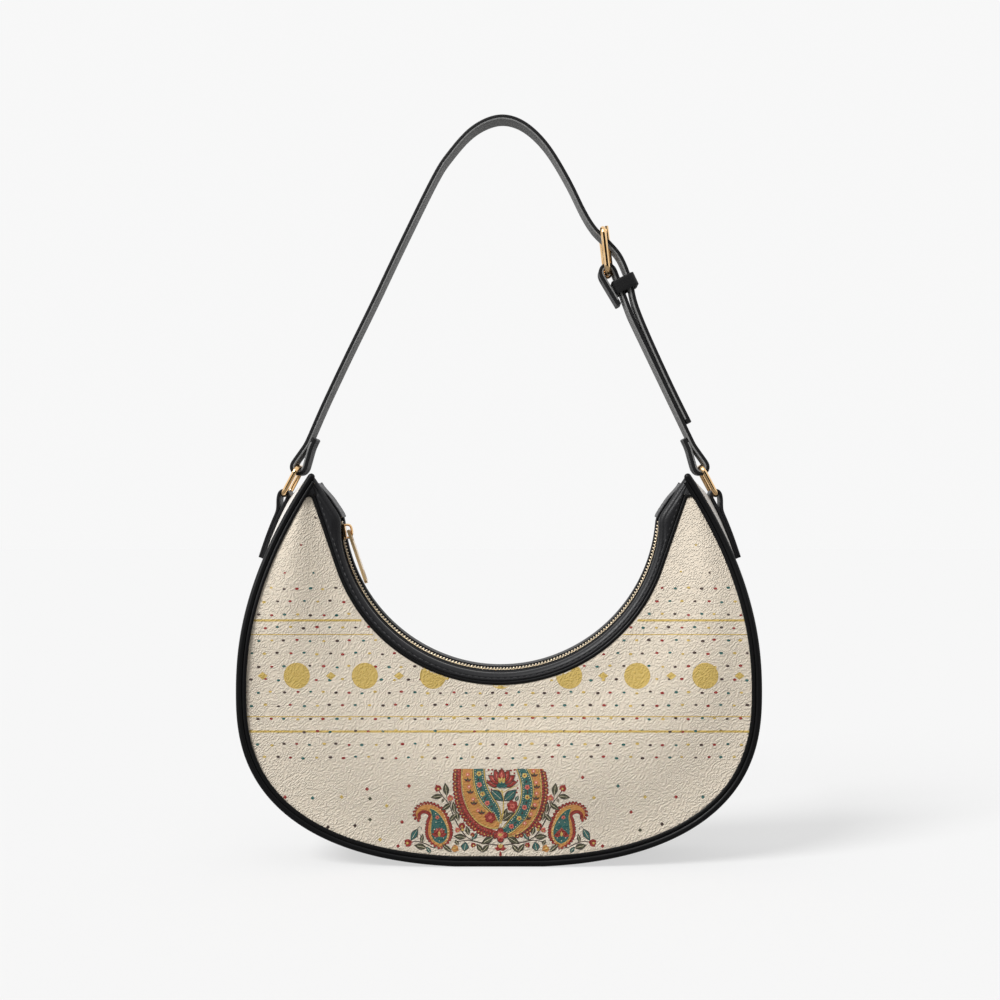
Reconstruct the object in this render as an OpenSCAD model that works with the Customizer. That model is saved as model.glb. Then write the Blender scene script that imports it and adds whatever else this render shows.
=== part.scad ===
// Half moon shoulder bag: a crescent body with a curved zip along its mouth,
// and an adjustable strap on two rings. Millimetres, front to -Y, base on z = 0.

/* [Body] */
// Width across the outer piping
bag_w = 316; // [290:1:350]
// Height from the base to the tops of the two tips
bag_h = 235; // [225:1:250]
// Depth between the panels along the base
base_depth = 60; // [50:1:76]
// Depth between the panels at the tips
tip_depth = 31; // [29:1:36]
// Height at which the body is widest
widest_h = 105; // [90:1:120]
// Thickness of the panel and gusset leather
panel_t = 1.6; // [1.2:0.1:2]
// How far each panel puffs out
puff = 6; // [2:0.5:9]
// Diameter of the outer piping
piping_d = 4.4; // [3.6:0.1:5]
// Width of the flat flange that shows beside the outer piping
piping_flange = 2; // [1:0.1:3]
// How far the ring tabs pull the gusset out
gusset_pull = 2.8; // [2:0.2:4]
// Thickness of the lining
lining_t = 0.6; // [0.4:0.1:1]

/* [Mouth] */
// Radius of the mouth, at the zip tape
mouth_r = 98.6; // [92:0.1:104]
// Depth of the mouth at its lowest place
mouth_depth = 44; // [38:1:50]
// Radius of the outward turn at each end of the mouth
flare_r = 14; // [12:1:18]
// Thickness of the mouth facing leather
facing_t = 1.2; // [0.9:0.1:1.5]
// How far the facing drops in front of the zip
facing_drop = 4.2; // [3.4:0.1:5]
// Diameter of the mouth piping
mouth_piping_d = 2.6; // [2:0.1:3]

/* [Zip] */
// Distance from one tooth to the next on one side
tooth_pitch = 2; // [1.6:0.1:2.6]
// Height of a tooth
tooth_h = 2.6; // [2.2:0.1:3]
// Length of the slider
slider_l = 9.5; // [8:0.5:10]
// Length of the puller, from its pivot
puller_l = 34; // [24:1:36]
// Width of the puller
puller_w = 6.5; // [5.5:0.5:8]
// Thickness of the puller
puller_t = 1.8; // [1.4:0.1:2.2]

/* [Rings] */
// Wire diameter of the two rings
ring_wire = 3; // [2.5:0.1:3.4]
// Length of a ring between the centres of its bars
ring_l = 19.2; // [17:0.1:23]
// Length of a ring tab below its ring
tab_l = 38; // [32:1:44]
// Thickness of one layer of a ring tab
tab_t = 1.7; // [1.3:0.1:2]

/* [Strap] */
// Width of the strap
strap_w = 18; // [15:0.5:20]
// Thickness of the strap
strap_t = 3; // [2.4:0.1:3.2]
// Height of the strap above the rings
strap_rise = 215.4; // [195:0.1:245]
// Wire diameter of the buckle frame
buckle_wire = 3.6; // [3:0.1:4]
// Length of the buckle frame between the centres of its bars
buckle_l = 26.4; // [25:0.1:29]
// Length of the keeper along the strap
keeper_l = 8.5; // [7:0.5:9.5]
// Distance between the adjusting holes in the tail
hole_step = 20; // [16:1:24]
// Diameter of an adjusting hole
hole_d = 3.4; // [3:0.1:3.6]

/* [Hidden] */

// Clearances, overruns and steps
seat_gap = 0.3;
layer_gap = 0.1;
loop_play = 0.6;
overrun = 1;
probe = 0.002;
outline_steps = 28;
mouth_steps = 25;
bend_steps = 7;

// Colours as they are seen
cream = [0.86, 0.80, 0.72];
ivory = [0.95, 0.94, 0.92];
black_leather = [0.06, 0.06, 0.07];
black_cloth = [0.10, 0.10, 0.10];
gold = [0.85, 0.66, 0.36];

// The crescent's outline: a fuller ellipse below, and a drawn-in side above
half_w = bag_w / 2;
base_sink = 0.5;
low_power = 2.5;
side_power = 2.08;
low_share = 0.58;
// The side's pull: where it starts, where it is full and where it has gone, up to the tip
pull_start_share = 0.5;
pull_full_share = 0.9;
pull_fall_share = 0.88;
gusset_rest = 0.5;
crown_power = 5;
depth_hold_share = 0.15;

// The mouth: an arc that turns outward at both ends
tip_over_mouth = 21.4;
mouth_cz = bag_h - tip_over_mouth;
mouth_arc_half = 85.3;
flare_turn = 29;
mouth_tail = 24.7;
arc_len = mouth_r * mouth_arc_half * PI / 180;
flare_len = flare_r * flare_turn * PI / 180;
mouth_len = arc_len + flare_len + mouth_tail;
tip_wall = 2.5;
edge_arc_half = 70.6;
edge_arc_len = mouth_r * edge_arc_half * PI / 180;
tip_half_w = mouth_at(1, 0).x + tip_wall;

piping_r = piping_d / 2;
piping_out = 0.6;
flange_t = 0.8;
flange_lift = seat_gap + 2 * layer_gap;
gusset_in = 1;
panel_in = piping_d + seat_gap + layer_gap;
gusset_side_gap = piping_r + piping_out + seat_gap;

mouth_piping_r = mouth_piping_d / 2;
facing_bottom = facing_drop + seat_gap;
panel_mouth_off = facing_bottom + mouth_piping_d + seat_gap;
facing_roll = 3;
facing_inner = 7;
facing_under = 0.25;
mouth_tip_inset = 2;
mouth_tip_depth = tip_depth - 2 * mouth_tip_inset;

tape_t = 0.7;
tooth_reach = 2.6;
tooth_heel = 0.35;
tooth_w_share = 0.55;
tape_outer = 11.3;
tape_end_angle = mouth_arc_half + 0.1;
zip_end_angle = 85.3;

// Functions of the outline
function lerp(a, b, t) = a + (b - a) * t;
function smooth(a, b, t) = let (k = min(1, max(0, (t - a) / (b - a)))) k * k * (3 - 2 * k);
function unit(v) = v / norm(v);
function flip(p) = [-p.x, p.y];

// Right half of the outline: k runs from 0 at the base to 1 at the tip
function side_height(k) = max(0, (k - low_share) / (1 - low_share));
function half_outline(k) =
    k < low_share
        ? let (angle = 90 * k / low_share, power = 2 / low_power)
          [half_w * pow(sin(angle), power),
           max(0, (widest_h + base_sink) * (1 - pow(cos(angle), power)) - base_sink)]
        : let (h = side_height(k))
          [half_w - (half_w - tip_half_w) * pow(h, side_power), lerp(widest_h, bag_h, h)];
function outline(u) = u < 0 ? flip(half_outline(-u)) : half_outline(u);
function outline_run(u) = unit(outline(min(1, u + probe)) - outline(max(-1, u - probe)));
function outline_out(u) = let (t = outline_run(u)) [t.y, -t.x];
function outline_off(u, off) = outline(u) + outline_out(u) * off;
function half_depth(u) =
    lerp(base_depth, tip_depth, smooth(depth_hold_share, 1, side_height(abs(u)))) / 2;
function gusset_bulge(u) =
    let (h = side_height(abs(u)))
    gusset_rest + gusset_pull * smooth(pull_start_share, pull_full_share, h)
        * (1 - smooth(pull_fall_share, 1, h));

// Functions of the mouth: w runs from -1 at the left tip to 1 at the right tip
function half_mouth(k, off) =
    let (s = k * mouth_len, lean = mouth_arc_half - 90,
         turn_c = [0, mouth_cz] + (mouth_r + flare_r) * [cos(lean), sin(lean)],
         turned = min(flare_turn, max(0, (s - arc_len) / flare_r * 180 / PI)),
         angle = 180 + lean - turned)
    s < arc_len
        ? let (a = s / mouth_r * 180 / PI - 90) [0, mouth_cz] + (mouth_r + off) * [cos(a), sin(a)]
        : turn_c + (flare_r - off) * [cos(angle), sin(angle)]
            + max(0, s - arc_len - flare_len) * [sin(angle), -cos(angle)];
function mouth_at(w, off) = w < 0 ? flip(half_mouth(-w, off)) : half_mouth(w, off);

// The line of the panels' mouth edges: the same arc, and then straight on to each tip
function half_edge(k, off) =
    let (s = k * mouth_len, a = min(s, edge_arc_len) / mouth_r * 180 / PI - 90)
    [0, mouth_cz] + (mouth_r + off) * [cos(a), sin(a)] + max(0, s - edge_arc_len) * [-sin(a), cos(a)];
function edge_at(w, off) = w < 0 ? flip(half_edge(-w, off)) : half_edge(w, off);
function mouth_half_depth(w) = lerp(mouth_depth, mouth_tip_depth, smooth(0.2, 1, abs(w))) / 2;

// Joins closed rings of points into one solid
module loft(rings) {
    n = len(rings[0]);
    last = len(rings) - 1;
    sides = [for (i = [0:last - 1], j = [0:n - 1]) let (k = (j + 1) % n)
        each [[i * n + j, i * n + k, (i + 1) * n + k], [i * n + j, (i + 1) * n + k, (i + 1) * n + j]]];
    caps = [[for (j = [n - 1:-1:0]) j], [for (j = [0:n - 1]) last * n + j]];
    polyhedron([for (r = rings) each r], concat(sides, caps), convexity = 10);
}

// A strip of even thickness along a path of 2D points
function path_out(p, i) =
    let (d = unit(p[min(len(p) - 1, i + 1)] - p[max(0, i - 1)])) [d.y, -d.x];
function ribbon(p, thick) = concat(
    [for (i = [0:len(p) - 1]) p[i] + path_out(p, i) * thick / 2],
    [for (i = [len(p) - 1:-1:0]) p[i] - path_out(p, i) * thick / 2]);

// Smooths a route through its points
function catmull(a, b, c, d, t) =
    0.5 * (2 * b + (c - a) * t + (2 * a - 5 * b + 4 * c - d) * t * t
        + (3 * b - a - 3 * c + d) * t * t * t);
function smooth_route(p, n) = concat(
    [for (i = [0:len(p) - 2], j = [0:n - 1])
        catmull(p[max(0, i - 1)], p[i], p[i + 1], p[min(len(p) - 1, i + 2)], j / n)],
    [p[len(p) - 1]]);

// A strip folded round a bar: its two sides close up at reach, and the second one ends at back
function fold_path(centre, dir, r, side, reach, back, turn) =
    let (out = [dir.y, -dir.x] * turn, g = atan2(side, reach) + acos(r / norm([reach, side])))
    concat(
        [centre + dir * reach + out * side],
        [for (i = [0:2 * bend_steps]) let (a = g + (360 - 2 * g) * i / (2 * bend_steps))
            centre + r * (dir * cos(a) + out * sin(a))],
        back > reach ? [centre + dir * reach - out * side, centre + dir * back - out * side]
            : [let (t = r * [cos(g), sin(g)], k = (back - t.x) / (reach - t.x))
                centre + dir * back - out * lerp(t.y, side, k)]);

// Puts a drawing of the X-Z plane there, with its thickness evenly about Y
module across(width) {
    rotate([90, 0, 0]) linear_extrude(width, center = true) children();
}

// Revolves a profile round the mouth's centre: x is the radius and y the depth towards the front
module mouth_turn(from, to) {
    translate([0, 0, mouth_cz]) rotate([90, 0, 0]) rotate([0, 0, from])
        rotate_extrude(angle = to - from, $fn = 180) children();
}

// Panels
apex_outer_share = 0.97;
apex_mouth_share = 0.96;
panel_rows = 7;
function panel_point(u, v, inset) =
    let (w = u / apex_outer_share * apex_mouth_share,
         p = outline_off(u, -panel_in), q = edge_at(w, panel_mouth_off),
         side = lerp(half_depth(u), mouth_half_depth(w), v),
         swell = puff * pow(sin(180 * v), 2) * (1 - pow(u, 4)), xz = lerp(p, q, v))
    [xz.x, -(side + swell - inset), xz.y];
function panel_ring(u, outer, inner, rows) = concat(
    [for (j = [0:rows]) panel_point(u, j / rows, outer)],
    [for (j = [rows:-1:0]) panel_point(u, j / rows, inner)]);
module panel_shell(outer, inner, steps, rows) {
    loft([for (i = [-steps:steps]) panel_ring(i / steps * apex_outer_share, outer, inner, rows)]);
}
module front_panel() {
    color(cream) panel_shell(0, panel_t, outline_steps, panel_rows);
}
module back_panel() {
    color(cream) mirror([0, 1, 0]) panel_shell(0, panel_t, outline_steps, panel_rows);
}

// Gusset: the band between the panels
gusset_end_share = 0.965;
gusset_rows = 10;
function gusset_half(u) = half_depth(u) - gusset_side_gap;
function gusset_point(u, y_share, inset) =
    let (off = -gusset_in + (gusset_bulge(u) + gusset_in) * (1 - pow(abs(y_share), crown_power)),
         p = outline_off(u, off - inset))
    [p.x, gusset_half(u) * y_share, max(inset - 2 * base_sink, p.y)];
function gusset_ring(u, outer, inner, narrow, rows) = concat(
    [for (j = [-rows:rows]) gusset_point(u, narrow * sin(90 * j / rows), outer)],
    [for (j = [rows:-1:-rows]) gusset_point(u, narrow * sin(90 * j / rows), inner)]);
module gusset_band(outer, inner, narrow, end, steps, rows) {
    difference() {
        loft([for (i = [steps:-1:-steps]) gusset_ring(i / steps * end, outer, inner, narrow, rows)]);
        translate([-bag_w, -base_depth, -bag_w]) cube([2 * bag_w, 2 * base_depth, bag_w]);
    }
}
module gusset() {
    color(ivory) gusset_band(0, panel_t + 2 * base_sink, 1, gusset_end_share, outline_steps, gusset_rows / 2);
}

// Outer piping: a cord with a flat flange on the panel's edge
piping_sides = 9;
flange_open = 35;
flange_end = piping_d + piping_flange;
piping_section = concat(
    [for (i = [0:piping_sides]) let (a = lerp(flange_open, 360, i / piping_sides))
        [piping_r + piping_r * cos(a), piping_r * sin(a) - piping_out]],
    [[piping_d + seat_gap, flange_lift], [flange_end, flange_lift],
     [flange_end, flange_lift + flange_t], [piping_d, flange_lift + flange_t]]);
function piping_ring(u) = [for (q = piping_section)
    let (p = outline_off(u, -q.x)) [p.x, -(half_depth(u) + q.y), max(0, p.y)]];
module outer_piping() {
    loft([for (i = [outline_steps:-1:-outline_steps]) piping_ring(i / outline_steps)]);
}
module front_piping() {
    color(black_leather) outer_piping();
}
module back_piping() {
    color(black_leather) mirror([0, 1, 0]) outer_piping();
}

// Mouth facing: it lies on the zip tape and rolls down in front
facing_end_share = 0.97;
end_crowd = 0.25;
function mouth_station(i) =
    let (t = i / mouth_steps) facing_end_share * t * (1 + end_crowd - end_crowd * t * t);
facing_top = -facing_under - facing_t / 2;
function facing_line(w) =
    let (edge = mouth_half_depth(w) - facing_t / 2)
    concat(
        [[facing_top, facing_inner]],
        [for (i = [0:4]) let (a = 90 * i / 4)
            [facing_top + facing_roll * (1 - cos(a)), edge - facing_roll * (1 - sin(a))]],
        [[facing_drop, edge]]);
function facing_ring(w) = [for (q = ribbon(facing_line(w), facing_t))
    let (p = lerp(mouth_at(w, q.x), edge_at(w, q.x), smooth(facing_top + facing_roll, facing_drop, q.x)))
    [p.x, -q.y, p.y]];
module mouth_facing() {
    loft([for (i = [-mouth_steps:mouth_steps]) facing_ring(mouth_station(i))]);
}
module front_mouth_facing() {
    color(black_leather) mouth_facing();
}
module back_mouth_facing() {
    color(black_leather) mirror([0, 1, 0]) mouth_facing();
}

// Mouth piping: a thin cord between the facing and the panel
mouth_piping_steps = 24;
mouth_piping_sides = 8;
function mouth_piping_ring(w) = [for (i = [0:mouth_piping_sides - 1])
    let (a = 360 * i / mouth_piping_sides,
         p = edge_at(w, facing_bottom + mouth_piping_r * (1 + cos(a))))
    [p.x, -(mouth_half_depth(w) - facing_t / 2 + mouth_piping_r * sin(a)), p.y]];
module mouth_piping() {
    loft([for (i = [-mouth_piping_steps:mouth_piping_steps]) mouth_piping_ring(mouth_station(i))]);
}
module front_mouth_piping() {
    color(black_leather) mouth_piping();
}
module back_mouth_piping() {
    color(black_leather) mirror([0, 1, 0]) mouth_piping();
}

// Zip: two tapes, each with its row of teeth
tooth_top = (tooth_h - tape_t) / 2;
teeth_count = floor(2 * zip_end_angle * PI / 180 * mouth_r / tooth_pitch);
tooth_step = 2 * zip_end_angle / teeth_count;
module zip_tape() {
    mouth_turn(270 - tape_end_angle, 270 + tape_end_angle)
        translate([mouth_r, tooth_reach]) square([tape_t, tape_outer - tooth_reach]);
}
module zip_teeth(shift) {
    for (i = [0:teeth_count - 1])
        translate([0, 0, mouth_cz]) rotate([0, zip_end_angle - 90 - tooth_step * (i + shift) + 180, 0])
            translate([mouth_r - tooth_top, -tooth_reach, -tooth_pitch * tooth_w_share / 2])
                cube([tooth_h, tooth_reach - tooth_heel, tooth_pitch * tooth_w_share]);
}
module front_zip_tape() {
    color(black_cloth) zip_tape();
}
module back_zip_tape() {
    color(black_cloth) mirror([0, 1, 0]) zip_tape();
}
module front_zip_teeth() {
    color(gold) zip_teeth(0.25);
}
module back_zip_teeth() {
    color(gold) mirror([0, 1, 0]) zip_teeth(0.75);
}
stop_angle = 0.5;
module zip_stops() {
    color(gold) for (side = [0, 1]) mirror([side, 0, 0])
        mouth_turn(270 + zip_end_angle + stop_angle / 2, 270 + zip_end_angle + 1.5 * stop_angle)
            translate([mouth_r - tooth_top, -tooth_reach + layer_gap]) square([tooth_h, 2 * (tooth_reach - layer_gap)]);
}

// Leather tabs that cover the ends of the zip
end_tab_w = 22;
end_tab_t = 1;
end_tab_from_share = arc_len / mouth_len;
end_tab_to_share = 0.98;
end_tab_steps = 12;
end_tab_off = -(facing_under + facing_t + seat_gap + end_tab_t / 2);
module zip_end_tab() {
    across(end_tab_w) polygon(ribbon([for (i = [0:end_tab_steps])
        mouth_at(lerp(end_tab_from_share, end_tab_to_share, i / end_tab_steps), end_tab_off)], end_tab_t));
}
module right_zip_end_tab() {
    color(black_leather) zip_end_tab();
}
module left_zip_end_tab() {
    color(black_leather) mirror([1, 0, 0]) zip_end_tab();
}

// Lining, a little inside the leather
lining_gap = panel_t + 2 * seat_gap;
lining_end_share = 0.9;
lining_steps = 20;
module panel_lining() {
    loft([for (i = [-lining_steps:lining_steps])
        panel_ring(i / lining_steps * lining_end_share, lining_gap, lining_gap + lining_t, panel_rows)]);
}
module front_lining() {
    color(black_cloth) panel_lining();
}
module back_lining() {
    color(black_cloth) mirror([0, 1, 0]) panel_lining();
}

// Board that stiffens the base, and the gusset's own lining over it
board_t = 1.5;
board_w = 40;
board_end_share = 0.14;
board_steps = 6;
board_off = gusset_rest - panel_t - 2 * base_sink - 2 * seat_gap - board_t / 2;
gusset_lining_in = panel_t + 2 * base_sink + board_t + 4 * seat_gap;
gusset_lining_narrow_share = 0.96;
module base_stiffener() {
    color(black_cloth) across(board_w) polygon(ribbon([
        for (i = [board_steps:-1:-board_steps])
            let (p = outline_off(i / board_steps * board_end_share, board_off))
            [p.x, max(panel_t + seat_gap + board_t / 2, p.y)]], board_t));
}
module gusset_lining() {
    color(black_cloth) gusset_band(gusset_lining_in, gusset_lining_in + lining_t,
        gusset_lining_narrow_share, lining_end_share, lining_steps, gusset_rows / 2);
}

// Ring tabs and rings
ring_seat_share = 0.881;
ring_seat_u = lerp(low_share, 1, ring_seat_share);
ring_bar_r = ring_wire / 2;
tab_loop_r = ring_bar_r + loop_play + tab_t / 2;
tab_side = (tab_t + layer_gap) / 2;
ring_low = outline_off(ring_seat_u, gusset_bulge(ring_seat_u) + tab_loop_r + tab_t / 2 + seat_gap);
ring_lean = 27.9;
ring_top = ring_low + ring_l * [-sin(ring_lean), cos(ring_lean)];
wire_room = 2.5;
ring_inner_w = strap_w + wire_room;
ring_corner = 3;

module wire_frame(width, length, wire, corner) {
    for (y = [-1, 1]) {
        translate([0, y * (width / 2), corner]) cylinder(length - 2 * corner, r = wire / 2);
        for (z = [0, 1]) translate([0, y * (width / 2 - corner), z ? length - corner : corner])
            rotate([0, 90, 0]) rotate([0, 0, z ? (y > 0 ? 90 : 180) : (y > 0 ? 0 : 270)])
                rotate_extrude(angle = 90) translate([corner, 0]) circle(wire / 2);
    }
    for (z = [0, length]) translate([0, 0, z]) rotate([90, 0, 0])
        cylinder(width - 2 * corner, r = wire / 2, center = true);
}
module ring_shape() {
    translate([ring_low.x, 0, ring_low.y]) rotate([0, -ring_lean, 0])
        wire_frame(ring_inner_w + ring_wire, ring_l, ring_wire, ring_corner, $fn = 48);
}
module right_ring() {
    color(gold) ring_shape();
}
module left_ring() {
    color(gold) mirror([1, 0, 0]) ring_shape();
}

// Tabs that are folded round the rings' lower bars and sewn to the gusset
tab_rise_share = 0.95;
tab_end_u = lerp(low_share, 1, ring_seat_share - tab_rise_share * tab_l / (bag_h - widest_h));
tab_steps = 10;
tab_close_share = 0.28;
tab_under = seat_gap + tab_t / 2;
function tab_point(k, rise) =
    let (u = lerp(ring_seat_u, tab_end_u, k)) outline_off(u, gusset_bulge(u) + tab_under + rise);
module ring_tab() {
    normal = outline_out(ring_seat_u);
    start = atan2(-normal.y, -normal.x);
    across(strap_w) polygon(ribbon(concat(
        [for (i = [tab_steps:-1:1]) tab_point(i / tab_steps, 0)],
        [for (i = [0:2 * bend_steps]) let (a = start - 180 * i / (2 * bend_steps))
            ring_low + tab_loop_r * [cos(a), sin(a)]],
        [for (i = [1:tab_steps]) let (k = i / tab_steps)
            tab_point(k, lerp(2 * tab_loop_r, 2 * tab_side, smooth(0, tab_close_share, k)))]), tab_t));
}
module right_ring_tab() {
    color(black_leather) ring_tab();
}
module left_ring_tab() {
    color(black_leather) mirror([1, 0, 0]) ring_tab();
}

// Zip slider: two plates round the teeth, joined by a thin neck
slider_centre = 82.2;
slider_at = 270 - slider_centre;
slider_half = slider_l / 2 / mouth_r * 180 / PI;
slider_gap = 0.3;
slider_plate = 1.2;
slider_wall = 0.8;
neck_t = 2 * (tooth_heel - layer_gap);
neck_l_share = 0.35;
slider_in_r = mouth_r - tooth_top - slider_gap;
slider_out_r = mouth_r + tape_t + tooth_top + slider_gap;
slider_in_w = tooth_reach + slider_gap;
slider_top = tooth_top + slider_gap + slider_plate;
module slider_plates() {
    translate([slider_in_r - slider_plate, -slider_in_w - slider_wall])
        square([slider_plate, 2 * (slider_in_w + slider_wall)]);
    translate([slider_out_r, -slider_in_w - slider_wall])
        square([slider_plate, 2 * (slider_in_w + slider_wall)]);
    for (y = [-slider_in_w - slider_wall, slider_in_w]) {
        translate([slider_in_r - slider_plate, y])
            square([slider_plate + slider_gap + tooth_top - slider_gap, slider_wall]);
        translate([mouth_r + tape_t + slider_gap, y])
            square([slider_plate + tooth_top, slider_wall]);
    }
}
module zip_slider_body() {
    color(gold) union() {
        mouth_turn(slider_at - slider_half, slider_at + slider_half) slider_plates();
        mouth_turn(slider_at - slider_half * neck_l_share, slider_at + slider_half * neck_l_share)
            translate([slider_in_r - slider_plate / 2, -neck_t / 2])
                square([slider_out_r - slider_in_r + slider_plate, neck_t]);
    }
}

// The crown arches over the slider and holds the puller's bar
crown_w = 2;
crown_t = 1.1;
crown_reach = 4;
puller_bar_r = 0.8;
pivot_up = 1.7;
pivot_h = slider_top + pivot_up;
crown_top = pivot_h + puller_bar_r + layer_gap + crown_t / 2;
crown_knee = crown_t;
function over_slider(t, h) =
    let (a = slider_at + t / mouth_r * 180 / PI) [0, mouth_cz] + (mouth_r - h) * [cos(a), sin(a)];
module zip_slider_crown() {
    color(gold) across(crown_w) polygon(ribbon([
        over_slider(-crown_reach, slider_top + layer_gap / 2), over_slider(-crown_reach, crown_top - crown_knee),
        over_slider(-crown_reach + crown_knee, crown_top), over_slider(crown_reach - crown_knee, crown_top),
        over_slider(crown_reach, crown_top - crown_knee), over_slider(crown_reach, slider_top + layer_gap / 2)],
        crown_t));
}

// Puller: a flat bar with a window that the crown passes through, and a slot near its end
puller_lean = 11;
puller_window = 6.5;
puller_window_w = crown_w + 3 * seat_gap;
puller_slot = 6;
puller_slot_w_share = 0.45;
puller_slot_edge = 2.2;
module zip_puller() {
    pivot = over_slider(0, pivot_h);
    color(gold) translate([pivot.x, 0, pivot.y]) rotate([0, -(slider_at + 90 + puller_lean), 0]) {
        difference() {
            union() {
                translate([0, 0, -puller_t / 2]) linear_extrude(puller_t)
                    polygon([[0, -puller_w / 2], [puller_l - puller_w / 4, -puller_w / 2],
                        [puller_l, -puller_w / 4], [puller_l, puller_w / 4],
                        [puller_l - puller_w / 4, puller_w / 2], [0, puller_w / 2]]);
                rotate([90, 0, 0]) cylinder(puller_w, r = puller_t / 2, center = true, $fn = 48);
            }
            translate([-puller_t, -puller_window_w / 2, -puller_t])
                cube([puller_t + puller_window, puller_window_w, 2 * puller_t]);
            translate([puller_l - puller_slot_edge - puller_slot, -puller_w * puller_slot_w_share / 2, -puller_t])
                cube([puller_slot, puller_w * puller_slot_w_share, 2 * puller_t]);
        }
        rotate([90, 0, 0]) cylinder(puller_window_w + overrun, r = puller_bar_r, center = true, $fn = 48);
    }
}

// Short strap: it runs from the right ring to the buckle, folded round both
strap_lean = 25.6;
short_strap_l = 133;
strap_side = (strap_t + layer_gap) / 2;
strap_loop_r = ring_bar_r + loop_play + strap_t / 2;
heel_loop_r = buckle_wire / 2 + loop_play + strap_t / 2;
ring_fold_reach = 14;
ring_fold_back = 20;
heel_fold_reach = 30;
heel_fold_back = 21;
right_dir = [-sin(strap_lean), cos(strap_lean)];
right_out = [cos(strap_lean), sin(strap_lean)];
heel = ring_top + short_strap_l * right_dir;
buckle_lean = 6.6;
buckle_dir = [-sin(buckle_lean), cos(buckle_lean)];
buckle_out = [cos(buckle_lean), sin(buckle_lean)];
tongue_r = 1.1;
tongue_slot = 2 * tongue_r + 2 * seat_gap;
function reversed(p) = [for (i = [len(p) - 1:-1:0]) p[i]];
short_strap_path = concat(
    reversed(fold_path(ring_top, right_dir, strap_loop_r, strap_side, ring_fold_reach, ring_fold_back, 1)),
    fold_path(heel, -right_dir, heel_loop_r, strap_side, heel_fold_reach, heel_fold_back, -1));
module short_strap() {
    color(black_leather) difference() {
        across(strap_w) polygon(ribbon(short_strap_path, strap_t));
        translate([heel.x, 0, heel.y]) rotate([90, 0, 0])
            cylinder(tongue_slot, r = heel_loop_r + strap_t / 2 + overrun, center = true, $fn = 48);
    }
}

// Buckle frame, hinged in the short strap's loop
module buckle_frame() {
    color(gold) translate([heel.x, 0, heel.y]) rotate([0, -buckle_lean, 0])
        wire_frame(strap_w + wire_room + buckle_wire, buckle_l, buckle_wire, ring_corner, $fn = 48);
}

// Tongue: an eye round the heel bar, and a pin that rests on the far bar
tongue_eye_gap = 0.1;
tongue_rest_gap = 0.15;
tongue_over = 3;
tongue_eye_in = buckle_wire / 2 + tongue_eye_gap;
tongue_eye_wall = 1.3;
tongue_eye_out = tongue_eye_in + tongue_eye_wall;
tongue_side = buckle_wire / 2 + tongue_rest_gap + tongue_r;
module tongue_pin(r, from, to) {
    base = heel + buckle_out * tongue_side + buckle_dir * from;
    translate([base.x, 0, base.y]) rotate([0, -buckle_lean, 0]) cylinder(to - from, r = r, $fn = 32);
}
module buckle_tongue() {
    color(gold) difference() {
        union() {
            translate([heel.x, 0, heel.y]) rotate([90, 0, 0])
                cylinder(2 * tongue_r, r = tongue_eye_out, center = true, $fn = 48);
            tongue_pin(tongue_r, 0, buckle_l + tongue_over);
        }
        translate([heel.x, 0, heel.y]) rotate([90, 0, 0])
            cylinder(strap_w, r = tongue_eye_in, center = true, $fn = 48);
    }
}

// Long strap: it folds round the left ring, rises over, passes the buckle and ends as the tail.
// Each route share is x of the half span between the rings, and z of the strap's rise.
left_dir = [sin(strap_lean), cos(strap_lean)];
left_out = [-cos(strap_lean), sin(strap_lean)];
left_top = flip(ring_top);
left_straight = 150;
crown_route_shares = [
    [-0.326, 0.826], [-0.250, 0.894], [-0.147, 0.960], [-0.042, 0.9935], [0.0515, 0.996],
    [0.146, 0.969], [0.242, 0.911], [0.340, 0.818]];
// Above the buckle, each share is along the frame and out from it, of the frame's length
approach_shares = [[1.443, -0.34], [1.015, -0.175]];
tail_l = 105;
tail_shares = [[0.095, 1.76], [0.2, 0.9], [0.28, 0.5], [0.45, 0.18], [0.75, 0], [1, 0.1]];
cross_up = 17.2;
shoulder_out = 11;
shoulder_up = 4.7;
cross = heel + buckle_out * tongue_side + buckle_dir * cross_up;
shoulder = heel + right_out * shoulder_out + right_dir * shoulder_up;
tail_side = strap_side + strap_t + seat_gap;
left_fold = fold_path(left_top, left_dir, strap_loop_r, strap_side, ring_fold_reach, ring_fold_back, -1);
long_strap_route = concat(
    [for (d = [ring_fold_reach, left_straight / 2, left_straight])
        left_top + left_dir * d + left_out * strap_side],
    [for (s = crown_route_shares) [s.x * ring_top.x, ring_top.y + s.y * strap_rise]],
    [for (s = approach_shares) heel + (buckle_dir * s.x + buckle_out * s.y) * buckle_l],
    [cross, shoulder],
    [for (s = tail_shares) heel - right_dir * s.x * tail_l + right_out * (tail_side + s.y * strap_t)]);
route_steps = 4;
long_strap_path = concat(
    reversed([for (i = [1:len(left_fold) - 1]) left_fold[i]]),
    smooth_route(long_strap_route, route_steps));
hole_numbers = [2, 3, 4];
module tail_hole(down) {
    place = heel - right_dir * down + right_out * tail_side;
    translate([place.x, 0, place.y]) rotate([0, 90 - strap_lean, 0])
        cylinder(3 * strap_t, r = hole_d / 2, center = true, $fn = 32);
}
module long_strap() {
    color(black_leather) difference() {
        across(strap_w) polygon(ribbon(long_strap_path, strap_t));
        tongue_pin(hole_d / 2, 0, buckle_l);
        for (i = hole_numbers) tail_hole(i * hole_step);
    }
}

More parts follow.
